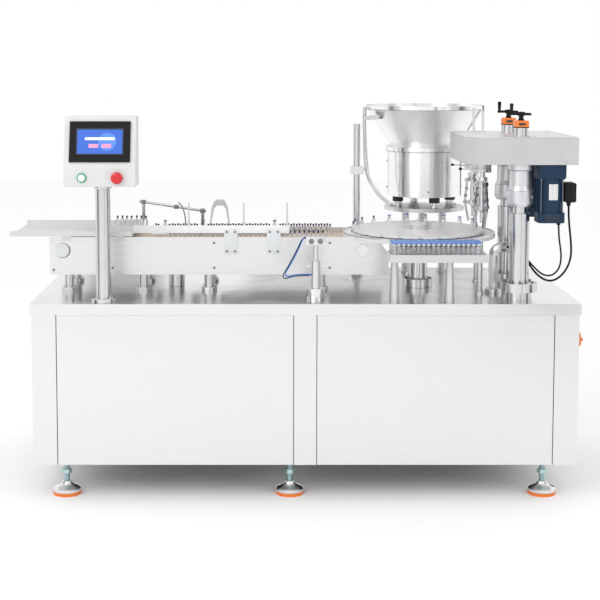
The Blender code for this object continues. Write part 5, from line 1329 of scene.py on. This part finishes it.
    def fit_mast(self, shop: Workshop) -> None:
        """Adds the mast's foot collar, its cap and the cross clamp with its screws."""
        x, y = self.mast
        mast = Shape().lathe([(0, self.mast_top), (0.0120, self.mast_top), (0.0130, self.mast_top - 0.001),
                              (0.0130, DECK_TOP), (0, DECK_TOP)], (x, y, 0), 40)
        mast.lathe([(0, self.clamp_z + 0.0140), (0.0225, self.clamp_z + 0.0140),
                    (0.0234, self.clamp_z + 0.0130), (0.0234, self.clamp_z - 0.0130),
                    (0.0225, self.clamp_z - 0.0140),
                    (0, self.clamp_z - 0.0140)], (x, y, 0), 40)
        mast.rod((x, y, self.clamp_z), (0.2420, 0.6430, self.clamp_z), 0.0050, sides=16)
        stand_in(shop, "chute_mast", mast, "mirror")
        trims = Shape()
        trims.hoop([(0.0132, 0.6820), (0.0230, 0.6820), (0.0245, 0.6805), (0.0245, 0.6635),
                    (0.0132, 0.6635)], (x, y, 0), 28)
        trims.lathe([(0, self.mast_top + 0.0018), (0.0105, self.mast_top + 0.0018),
                     (0.0124, self.mast_top + 0.0002), (0, self.mast_top + 0.0002)], (x, y, 0), 28)
        trims.piece(shop, "chute_mast_trims", "satin")
        block = Shape().block((x - 0.0250, y - 0.0250, self.clamp_z - 0.0150),
                              (x + 0.0250, y - 0.0236, self.clamp_z + 0.0150))
        for z in (self.clamp_z - 0.0085, self.clamp_z + 0.0085):
            for dx in (-0.0170, 0.0170):
                block.screw_head((x + dx, y - 0.0250, z), (0, -1, 0), 0.0034, 0.0028)
        block.piece(shop, "chute_clamp_face", "satin")

    def hang_chute(self, shop: Workshop) -> None:
        """Adds the strap that holds the chute and the short cross rail under the hopper's rim."""
        course = ((-0.02, 0.14), (0.0, 0.31), (0.04, 0.56), (0.17, 0.75), (0.55, 0.905), (1.0, 1.0))
        top, end = Vector((0.2387, 0.660, 1.2926)), Vector((0.3307, 0.550, 0.933))
        route = [top] + [Vector((top.x + (end.x - top.x) * across, top.y + (end.y - top.y) * across,
                                 top.z + (end.z - top.z) * down)) for across, down in course]
        line = smooth_line(route, 0.006)
        stand_in(shop, "cap_chute", Shape().tube(line, 0.007, 20), "dull_sheet")
        held = [point for point in line if 1.032 < point.z < 1.130]
        Shape().tube(held, 0.0086, 16).piece(shop, "chute_strap", "satin")
        turn = Matrix.Translation((0.237, 0.660, 1.250)) @ Matrix.Rotation(math.radians(-51), 4, "Z")
        turn = turn @ Matrix.Rotation(math.radians(-5), 4, "Y")
        rail = Shape()
        for low, high in (((0.0072, -0.009, -0.0080), (0.090, 0.009, -0.0065)),
                          ((0.0072, -0.009, -0.0065), (0.090, -0.0075, 0.0080)),
                          ((0.0072, 0.0075, -0.0065), (0.090, 0.009, 0.0080))):
            rail.block(low, high, turn)
        rail.piece(shop, "chute_cross_rail", "dull_sheet")


@dataclass(frozen=True)
class CappingHead:
    """The head: lifting beam on its pillars, gear motors, spindles and the crimping arms."""

    low: float = 1.118
    top: float = 1.210
    left: float = 0.530
    right: float = 0.905
    front: float = 0.060
    back: float = 0.520
    nose: float = 0.085
    pillar_x: float = 0.722
    pillar_ys: tuple[float, float] = (0.115, 0.350)
    spindle_x: float = 0.6181
    spindle_ys: tuple[float, float] = (0.2648, 0.4652)
    motor_x: float = 0.822
    motor_ys: tuple[float, float] = (0.115, 0.305)
    motor_radius: float = 0.0437
    carrier_z: float = 0.954
    arm_circle: float = 0.030
    arm_up: float = 0.080
    tail_circle: float = 0.0194

    def build(self, shop: Workshop) -> None:
        """Builds the beam and its collars and dresses and details the rest."""
        shop.dress("cone_sleeve_front cone_sleeve_rear spindle_front spindle_rear", "chrome")
        shop.dress([f"crimp_arm_{row}_{index}" for row in ("front", "rear") for index in (1, 2, 3)],
                   "dark_chrome")
        for row, y in zip(("front", "rear"), self.pillar_ys):
            pillar = Shape().lathe([(0, 1.2390), (0.0240, 1.2390), (0.0240, 0.9540), (0.0310, 0.9540),
                                    (0.0330, 0.9520), (0.0330, 0.7193), (0.0580, 0.7193), (0.0600, 0.7173),
                                    (0.0600, 0.6893), (0.0430, 0.6893), (0.0430, DECK_TOP), (0, DECK_TOP)],
                                   (self.pillar_x, y, 0), 64)
            stand_in(shop, f"pillar_{row}", pillar, "mirror")
        shop.dress("gear_motor_front gear_motor_rear", "motor")
        shop.dress("terminal_box handwheel_front handwheel_rear", "black")
        shop.dress("position_indicator_front position_indicator_rear", "orange")
        self.make_beam(shop)
        self.make_collars(shop)
        self.bolt_pillars(shop)
        for row, y in zip(("front", "rear"), self.motor_ys):
            self.detail_motor(shop, row, y)
        self.detail_box(shop)
        self.mark_indicators(shop)
        for row, y in zip(("front", "rear"), self.spindle_ys):
            self.pin_arms(shop, row, y)

    def outline(self, inset: float) -> list[tuple[float, float]]:
        """The beam's outline from above, drawn in by an inset."""
        radius = self.nose - inset
        points = [(self.right - inset, self.front + inset), (self.right - inset, self.back - inset)]
        for y, start in ((self.back - self.nose, 90), (self.front + self.nose, 180)):
            for step in range(17):
                angle = math.radians(start + 90 * step / 16)
                points.append((self.left + self.nose + radius * math.cos(angle),
                               y + radius * math.sin(angle)))
        return points

    def make_beam(self, shop: Workshop) -> None:
        """Makes the beam's painted cover, its top plate and the screws in both."""
        cover = Shape().plate(self.outline(0.0), self.low, self.top - 0.0032)
        made = cover.piece(shop, "beam_cover", "casting", "capping_head", bevel=0.0012)
        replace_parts(made, "head_beam")
        Shape().plate(self.outline(0.0018), self.top - 0.0031, self.top - 0.0001).piece(
            shop, "beam_top_plate", "alloy", "capping_head", bevel=0.0005)
        screws = Shape()
        for x in (0.635, 0.865):
            screws.screw_head((x, self.front + 0.0001, self.low + 0.008), (0, -1, 0), 0.0034, 0.0022)
            screws.screw_head((x, self.back - 0.0001, self.low + 0.008), (0, 1, 0), 0.0034, 0.0022)
        for x, y in ((0.600, 0.085), (0.760, 0.075), (0.890, 0.075), (0.890, 0.290), (0.890, 0.505),
                     (0.760, 0.505), (0.600, 0.495), (0.545, 0.290)):
            screws.screw_head((x, y, self.top - 0.0001), (0, 0, 1), 0.0040, 0.0026)
        screws.piece(shop, "beam_screws", "chrome", "capping_head")

    def make_collars(self, shop: Workshop) -> None:
        """Makes the clamp collars on the pillars and the quills that hold the spindles."""
        collars, bolts = Shape(), Shape()
        for y in self.pillar_ys:
            collars.hoop([(0.0243, self.low), (0.0430, self.low), (0.0430, 1.0995), (0.0420, 1.0980),
                          (0.0365, 1.0945), (0.0372, 1.0500), (0.0380, 1.0399), (0.0436, 1.0300),
                          (0.0440, 1.0270), (0.0440, 0.9890), (0.0432, 0.9860), (0.0372, 0.9762),
                          (0.0360, 0.9760), (0.0243, 0.9760)], (self.pillar_x, y, 0), 48)
            turn = Matrix.Translation((self.pillar_x, y, 0)) @ Matrix.Rotation(math.radians(-32), 4, "Z")
            bolts.screw_head(turn @ Vector((0.0438, 0, 1.008)), turn.to_3x3() @ Vector((1, 0, 0)), 0.0060,
                             0.0042)
        collars.piece(shop, "beam_clamp_collars", "alloy", "capping_head")
        grooves = Shape()
        for y in self.pillar_ys:
            for radius, height in ((0.0431, 1.0990), (0.0437, 1.0300)):
                grooves.hoop([(radius, height), (radius + 0.0004, height),
                              (radius + 0.0004, height - 0.0012),
                              (radius, height - 0.0012)], (self.pillar_x, y, 0), 48)
        grooves.piece(shop, "beam_collar_grooves", "dark_steel", "capping_head")
        bolts.piece(shop, "beam_clamp_bolts", "dark_steel", "capping_head")
        quills, levers, knobs = Shape(), Shape(), Shape()
        for y in self.spindle_ys:
            quills.hoop([(0.0106, self.low), (0.0320, self.low), (0.0320, 1.0960), (0.0300, 1.0945),
                         (0.0300, 1.0925), (0.0320, 1.0910), (0.0320, 1.0800), (0.0305, 1.0780),
                         (0.0106, 1.0780)], (self.spindle_x, y, 0), 40)
            levers.rod((self.spindle_x - 0.0318, y, 1.0865), (self.spindle_x - 0.0700, y, 1.0890), 0.0022,
                       sides=12)
            knobs.rod((self.spindle_x - 0.0700, y, 1.0890), (self.spindle_x - 0.0810, y, 1.0897), 0.0042,
                      sides=16, rounded=0.0012)
        quills.piece(shop, "spindle_quills", "alloy", "capping_head")
        levers.piece(shop, "quill_lever_rods", "chrome", "capping_head")
        knobs.piece(shop, "quill_lever_knobs", "black", "capping_head")

    def bolt_pillars(self, shop: Workshop) -> None:
        """Bolts the pillar flanges down and dresses the joint of each neck."""
        bolts, rings = Shape(), Shape()
        for y in self.pillar_ys:
            for x, forward in ring(6, 0.0480, 30):
                bolts.screw_head((self.pillar_x + x, y + forward, 0.7193), (0, 0, 1), 0.0052, 0.0050)
            rings.hoop([(0.0243, 1.2130), (0.0304, 1.2130), (0.0312, 1.2124), (0.0312, 1.2106),
                        (0.0243, 1.2106)], (self.pillar_x, y, 0), 36)
        bolts.piece(shop, "pillar_flange_bolts", "dark_steel")
        rings.piece(shop, "pillar_neck_rings", "satin", "capping_head")

    def patch(self, centre: Point, radius: float, thick: float, low: float, high: float,
              angles: tuple[float, float]) -> Shape:
        """A thin plate curved round an upright axis.

        Args:
            centre: The axis.
            radius: The radius of its inner face.
            thick: Its thickness.
            low: Its lower edge.
            high: Its upper edge.
            angles: Where it starts and ends round the axis, in degrees.
        Returns:
            The plate.
        """
        outline = []
        for reach, order in ((radius + thick, range(9)), (radius, range(8, -1, -1))):
            for step in order:
                angle = math.radians(angles[0] + (angles[1] - angles[0]) * step / 8)
                outline.append((centre[0] + reach * math.cos(angle), centre[1] + reach * math.sin(angle)))
        return Shape().plate(outline, low, high)

    def detail_motor(self, shop: Workshop, row: str, y: float) -> None:
        """Adds a motor's ribs, flange plate, flange screws, bare name plate and fan slots.

        Args:
            shop: The workshop.
            row: Which motor, front or rear.
            y: Its place from front to back.
        """
        x, radius = self.motor_x, self.motor_radius
        ribs = Shape()
        for index in range(36):
            angle = index * 10.0
            if min(abs(angle - 360), angle) < 45 or 245 < angle < 310:
                continue
            turn = Matrix.Translation((x, y, 0)) @ Matrix.Rotation(math.radians(angle), 4, "Z")
            ribs.block((radius - 0.0004, -0.0010, 0.9600), (radius + 0.0011, 0.0010, 1.0690), turn)
        ribs.piece(shop, f"motor_{row}_ribs", "motor", "capping_head")
        trims, screws, dark = Shape(), Shape(), Shape()
        trims.plate(rounded_outline((x - 0.0444, y - 0.0444), (x + 0.0444, y + 0.0444), 0.010), 1.0697,
                    1.0726)
        for dx in (-0.0360, 0.0360):
            for dy in (-0.0360, 0.0360):
                screws.screw_head((x + dx, y + dy, 1.0697), (0, 0, -1), 0.0042, 0.0040)
                screws.rod((x + dx, y + dy, 1.0655), (x + dx, y + dy, 0.9570), 0.0018, sides=10)
        for dz in range(6):
            for side in (-1, 1):
                low = 0.9300 + dz * 0.0040
                dark.block((x - 0.0240, y + side * 0.0450 - 0.0003, low),
                           (x + 0.0240, y + side * 0.0450 + 0.0003, low + 0.0016))
        trims.piece(shop, f"motor_{row}_flange", "motor", "capping_head", bevel=0.0006)
        screws.piece(shop, f"motor_{row}_screws", "dark_steel", "capping_head")
        dark.piece(shop, f"motor_{row}_fan_slots", "gasket", "capping_head")
        plate = self.patch((x, y), radius + 0.0004, 0.0007, 1.0000, 1.0530, (-105, -65))
        plate.piece(shop, f"motor_{row}_name_plate", "plate", "capping_head")

    def detail_box(self, shop: Workshop) -> None:
        """Adds the terminal box's lid seam, lid screws and cable gland."""
        seam = Shape().block((0.8938, 0.0847, 0.9902), (0.8946, 0.1453, 1.0558))
        seam.piece(shop, "terminal_box_seam", "gasket", "capping_head")
        screws = Shape()
        for y in (0.0930, 0.1370):
            for z in (0.9980, 1.0480):
                screws.screw_head((0.9052, y, z), (1, 0, 0), 0.0028, 0.0014)
        screws.piece(shop, "terminal_box_screws", "dark_steel", "capping_head")
        gland = Shape().hoop([(0.0037, 0.9897), (0.0080, 0.9897), (0.0080, 0.9850), (0.0068, 0.9845),
                              (0.0068, 0.9790), (0.0052, 0.9760), (0.0037, 0.9760)], (0.8860, 0.115, 0), 20)
        gland.hoop([(0.0032, 0.9225), (0.0072, 0.9225), (0.0072, 0.9180), (0.0050, 0.9130),
                    (0.0032, 0.9130)], (0.8500, 0.100, 0), 20)
        gland.piece(shop, "motor_lead_glands", "black", "capping_head")

    def mark_indicators(self, shop: Workshop) -> None:
        """Adds the indicators' black bases and windows, and the screws' shafts above them."""
        bases, windows, shafts = Shape(), Shape(), Shape()
        for y in self.pillar_ys:
            bases.block((self.pillar_x - 0.0234, y - 0.0224, 1.2394),
                        (self.pillar_x + 0.0234, y + 0.0224, 1.2424), soften=0.0006)
            windows.block((self.pillar_x - 0.0110, y - 0.0224, 1.2475),
                          (self.pillar_x + 0.0110, y - 0.0216, 1.2560), soften=0.0003)
            shafts.hoop([(0.0068, 1.2683), (0.0100, 1.2683), (0.0100, 1.2635), (0.0068, 1.2635)],
                        (self.pillar_x, y, 0), 24)
        bases.piece(shop, "indicator_bases", "black")
        windows.piece(shop, "indicator_windows", "gasket")
        shafts.piece(shop, "indicator_shaft_rings", "black")

    def pin_arms(self, shop: Workshop, row: str, y: float) -> None:
        """Adds each arm's hinge pin, tail roller bolt and two small blocks, and the carrier's band.

        Args:
            shop: The workshop.
            row: Which spindle, front or rear.
            y: Its place from front to back.
        """
        for index in range(3):
            turn = Matrix.Translation((self.spindle_x, y, self.carrier_z)) @ Matrix.Rotation(
                math.radians(40 + 120 * index), 4, "Z")
            pins = Shape()
            for reach, height, half, radius in ((self.arm_circle, 0.0, 0.0062, 0.0034),
                                                (self.tail_circle, self.arm_up, 0.0052, 0.0030)):
                pins.rod(turn @ Vector((reach, -half, height)), turn @ Vector((reach, half, height)), radius,
                         sides=16, rounded=0.0006)
            for share, wide in ((0.30, 0.0052), (0.62, 0.0044)):
                middle = Vector((self.arm_circle + (self.tail_circle - self.arm_circle) * share, 0,
                                 self.arm_up * share))
                pins.block(middle - Vector((wide, 0.0048, 0.0050)), middle + Vector((wide, 0.0048, 0.0050)),
                           turn, 0.0008)
            pins.piece(shop, f"crimp_arm_{row}_{index + 1}_pins", "dark_steel",
                       f"crimp_arm_{row}_{index + 1}")
        ring_low = Shape().hoop([(0.0232, 0.0050), (0.0238, 0.0044), (0.0238, -0.0044), (0.0232, -0.0050)],
                                (self.spindle_x, y, self.carrier_z), 40)
        ring_low.piece(shop, f"carrier_band_{row}", "mirror", f"spindle_{row}")


@dataclass(frozen=True)
class Wiring:
    """The steel elbow on the deck and the two leads that loop from it up to the front motor."""

    mouth_x: float = 0.6983
    mouth_y: float = 0.235
    mouth_z: float = 0.821
    lead_radius: float = 0.0035
    thin_radius: float = 0.0030

    def build(self, shop: Workshop) -> None:
        """Dresses the elbow and runs both leads."""
        shop.dress("lead_conduit", "turned")
        bolts = Shape()
        for x, y in ring(4, 0.0235, 45):
            bolts.screw_head((0.656 + x, 0.235 + y, 0.6773), (0, 0, 1), 0.0030, 0.0024)
        bolts.piece(shop, "conduit_bolts", "chrome")
        lip = Shape().hoop([(0.0155, 0.0), (0.0176, 0.0), (0.0176, -0.004), (0.0155, -0.004)], (0, 0, 0), 32,
                           Matrix.Translation((self.mouth_x + 0.0003, self.mouth_y, self.mouth_z))
                           @ Matrix.Rotation(math.pi / 2, 4, "Y"))
        lip.piece(shop, "conduit_lip", "satin")
        main = [(0.886, 0.115, 0.9897), (0.888, 0.115, 0.930), (0.897, 0.118, 0.850), (0.898, 0.124, 0.800),
                (0.884, 0.134, 0.755), (0.856, 0.150, 0.722), (0.826, 0.168, 0.716), (0.796, 0.188, 0.736),
                (0.770, 0.208, 0.772), (0.748, 0.224, 0.806), (0.724, 0.233, 0.820), (0.7083, 0.235, 0.821),
                (0.6783, 0.235, 0.821)]
        lead = self.run(shop, "motor_supply_lead", main, self.lead_radius)
        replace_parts(lead, "motor_lead")
        second = [(0.850, 0.100, 0.9228), (0.853, 0.100, 0.870), (0.862, 0.106, 0.810),
                  (0.858, 0.118, 0.765), (0.838, 0.138, 0.738), (0.812, 0.158, 0.738), (0.786, 0.182, 0.760),
                  (0.762, 0.203, 0.790), (0.742, 0.219, 0.8145), (0.722, 0.2265, 0.8225),
                  (0.7083, 0.2275, 0.823), (0.6783, 0.2275, 0.823)]
        self.run(shop, "motor_speed_lead", second, self.thin_radius)

    def run(self, shop: Workshop, name: str, points: Sequence[Point], radius: float) -> bpy.types.Object:
        """Runs one lead from the motor to the elbow, carried by no body.

        Args:
            shop: The workshop.
            name: The lead's name.
            points: Its route, from the motor to the elbow.
            radius: Its radius.
        Returns:
            The lead.
        """
        route = smooth_line([spot(*point) for point in points], 0.010)
        tube = Shape().tube([point + ORIGIN for point in route], radius, 14)
        lead = tube.piece(shop, name, "lead", body="")
        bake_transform(lead)
        return lead


@dataclass(frozen=True)
class MainsSwitch:
    """The orange and red rotary isolator on the cabinet's right side."""

    face: float = 0.9053
    y: float = 0.120
    z: float = 0.522

    def build(self, shop: Workshop) -> None:
        """Dresses the switch and adds its screws and marks."""
        shop.dress("switch_plate", "orange")
        shop.dress("switch_knob", "red")
        screws, marks = Shape(), Shape()
        for dy in (-0.024, 0.024):
            for dz in (-0.024, 0.024):
                screws.screw_head((self.face + 0.0060, self.y + dy, self.z + dz), (1, 0, 0), 0.0028, 0.0014)
        for angle in (0, 90):
            turn = (Matrix.Translation((self.face + 0.0060, self.y, self.z))
                    @ Matrix.Rotation(math.radians(angle), 4, "X"))
            marks.block((0, -0.0008, 0.0190), (0.0003, 0.0008, 0.0235), turn)
        turn = (Matrix.Translation((self.face + 0.0061, self.y, self.z))
                @ Matrix.Rotation(math.pi / 2, 4, "Y"))
        collar = Shape().hoop([(0.0165, 0.0230), (0.0225, 0.0230), (0.0262, 0.0205), (0.0275, 0.0),
                               (0.0165, 0.0)], (0, 0, 0), 40, turn)
        collar.piece(shop, "switch_collar", "orange")
        screws.piece(shop, "switch_plate_screws", "chrome")
        marks.piece(shop, "switch_plate_marks", "gasket")


@dataclass(frozen=True)
class Card:
    """An upright card that only mirror bright metal shows.

    Attributes:
        angle: Its place round the machine in degrees, from the front towards the right.
        width: Its width.
        tone: How pale it is, from 0 to 1.
        height: Its height.
        middle: How high its middle hangs.
    """

    angle: float
    width: float
    tone: float
    height: float = 3.6
    middle: float = 1.6


@dataclass(frozen=True)
class Lamp:
    """A square area lamp.

    Attributes:
        place: Where it hangs.
        size: Its side.
        power: Its power in watts.
    """

    place: tuple[float, float, float]
    size: float
    power: float


@dataclass(frozen=True)
class Studio:
    """The plain white studio: pale floor, even light, and cards for the steel to reflect."""

    camera_place: tuple[float, float, float] = (-0.1148, -4.3029, 1.4405)
    camera_tilt: float = 85.0
    lens: float = 79.34
    shift: tuple[float, float] = (0.0490, -0.1952)
    floor_size: float = 12.0
    lamp_aim: tuple[float, float, float] = (0.0, 0.0, 0.8)
    key_lamp: Lamp = Lamp((-2.4, -3.2, 3.4), 2.4, 45.0)
    fill_lamp: Lamp = Lamp((3.0, -2.6, 2.2), 2.2, 10.0)
    card_distance: float = 4.0
    cards: tuple[Card, ...] = (
        Card(-165.0, 0.5, 0.45), Card(-75.0, 0.9, 0.02), Card(-63.0, 0.5, 0.38), Card(-56.0, 0.5, 0.58),
        Card(-49.0, 0.5, 0.76), Card(22.0, 0.24, 0.02), Card(43.5, 1.0, 0.80), Card(57.0, 0.8, 0.76),
        Card(66.0, 0.4, 0.50), Card(73.0, 0.7, 0.02), Card(81.0, 0.4, 0.42), Card(87.0, 0.4, 0.70),
        Card(143.0, 0.9, 0.05))
    low_card: Card = Card(172.0, 1.6, 0.45, 0.5, 1.3)

    def build(self) -> None:
        """Lays the floor and sets up world, lamps and camera."""
        self.lay_floor()
        self.light_world()
        self.hang_lamps()
        self.stand_cards()
        self.place_camera()
        bpy.context.scene.view_settings.view_transform = "Standard"

    def lay_floor(self) -> None:
        """Lays a pale floor that takes the machine's shadow."""
        graph = Graph("studio_floor")
        graph.set(Base_Color=(0.97, 0.97, 0.97, 1.0), Roughness=0.9)
        graph.set(Specular_IOR_Level=0.0)
        shape = bmesh.new()
        bmesh.ops.create_grid(shape, x_segments=1, y_segments=1, size=self.floor_size)
        mesh = bpy.data.meshes.new("studio_floor")
        shape.to_mesh(mesh)
        shape.free()
        floor = bpy.data.objects.new("studio_floor", mesh)
        floor.data.materials.append(graph.material)
        bpy.context.scene.collection.objects.link(floor)

    def light_world(self) -> None:
        """Surrounds the machine with plain white."""
        world = bpy.data.worlds.new("studio_world")
        world.use_nodes = True
        background = world.node_tree.nodes["Background"]
        background.inputs["Color"].default_value = (1.0, 1.0, 1.0, 1.0)
        background.inputs["Strength"].default_value = 1.0
        bpy.context.scene.world = world

    def hang_lamps(self) -> None:
        """Hangs a broad lamp at the upper left and a weaker one at the right."""
        for name, lamp in (("key_lamp", self.key_lamp), ("fill_lamp", self.fill_lamp)):
            light = bpy.data.lights.new(name, "AREA")
            light.energy = lamp.power
            light.size = lamp.size
            made = bpy.data.objects.new(name, light)
            made.location = lamp.place
            aim = Vector(self.lamp_aim) - Vector(lamp.place)
            made.rotation_euler = aim.to_track_quat("-Z", "Y").to_euler()
            bpy.context.scene.collection.objects.link(made)

    def stand_cards(self) -> None:
        """Stands pale, grey and dark cards all round, and one low card behind the machine."""
        for index, card in enumerate(self.cards):
            self.stand_card(f"card_{index:02d}", card)
        self.stand_card("card_low", self.low_card)

    def stand_card(self, name: str, card: Card) -> None:
        """Stands one card, seen by reflections only.

        Args:
            name: Its name.
            card: Its place, size and tone.
        """
        graph = Graph(name)
        graph.set(Base_Color=(card.tone, card.tone, card.tone * 1.03, 1.0), Roughness=1.0)
        place = Matrix.Translation((0, -self.card_distance, card.middle))
        turn = Matrix.Rotation(math.radians(card.angle), 4, "Z") @ place
        shape = bmesh.new()
        spread = Matrix.Diagonal((card.width, 0.02, card.height, 1))
        bmesh.ops.create_cube(shape, size=1.0, matrix=turn @ spread)
        mesh = bpy.data.meshes.new(name)
        shape.to_mesh(mesh)
        shape.free()
        made = bpy.data.objects.new(name, mesh)
        made.data.materials.append(graph.material)
        bpy.context.scene.collection.objects.link(made)
        made.visible_camera = made.visible_diffuse = made.visible_shadow = made.visible_transmission = False

    def place_camera(self) -> None:
        """Places the camera."""
        camera = bpy.data.cameras.new("camera")
        camera.lens = self.lens
        camera.shift_x, camera.shift_y = self.shift
        camera.clip_end = 100.0
        made = bpy.data.objects.new("camera", camera)
        made.location = spot(*self.camera_place)
        made.rotation_euler = (math.radians(self.camera_tilt), 0.0, 0.0)
        bpy.context.scene.collection.objects.link(made)
        bpy.context.scene.camera = made


def main() -> None:
    """Builds every part of the machine, then the studio."""
    logging.basicConfig(level=logging.INFO, format="%(message)s")
    shop = Workshop()
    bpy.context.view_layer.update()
    for part in (Cabinet(), OperatorPanel(), Conveyor(), Vials(), Guides(), Sensor(), Dial(),
                 DischargeTray(), CapFeeder(), CappingHead(), Wiring(), MainsSwitch()):
        part.build(shop)
        LOG.info("built %s", type(part).__name__)
    Studio().build()
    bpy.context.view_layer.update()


if __name__ == "__main__":
    main()
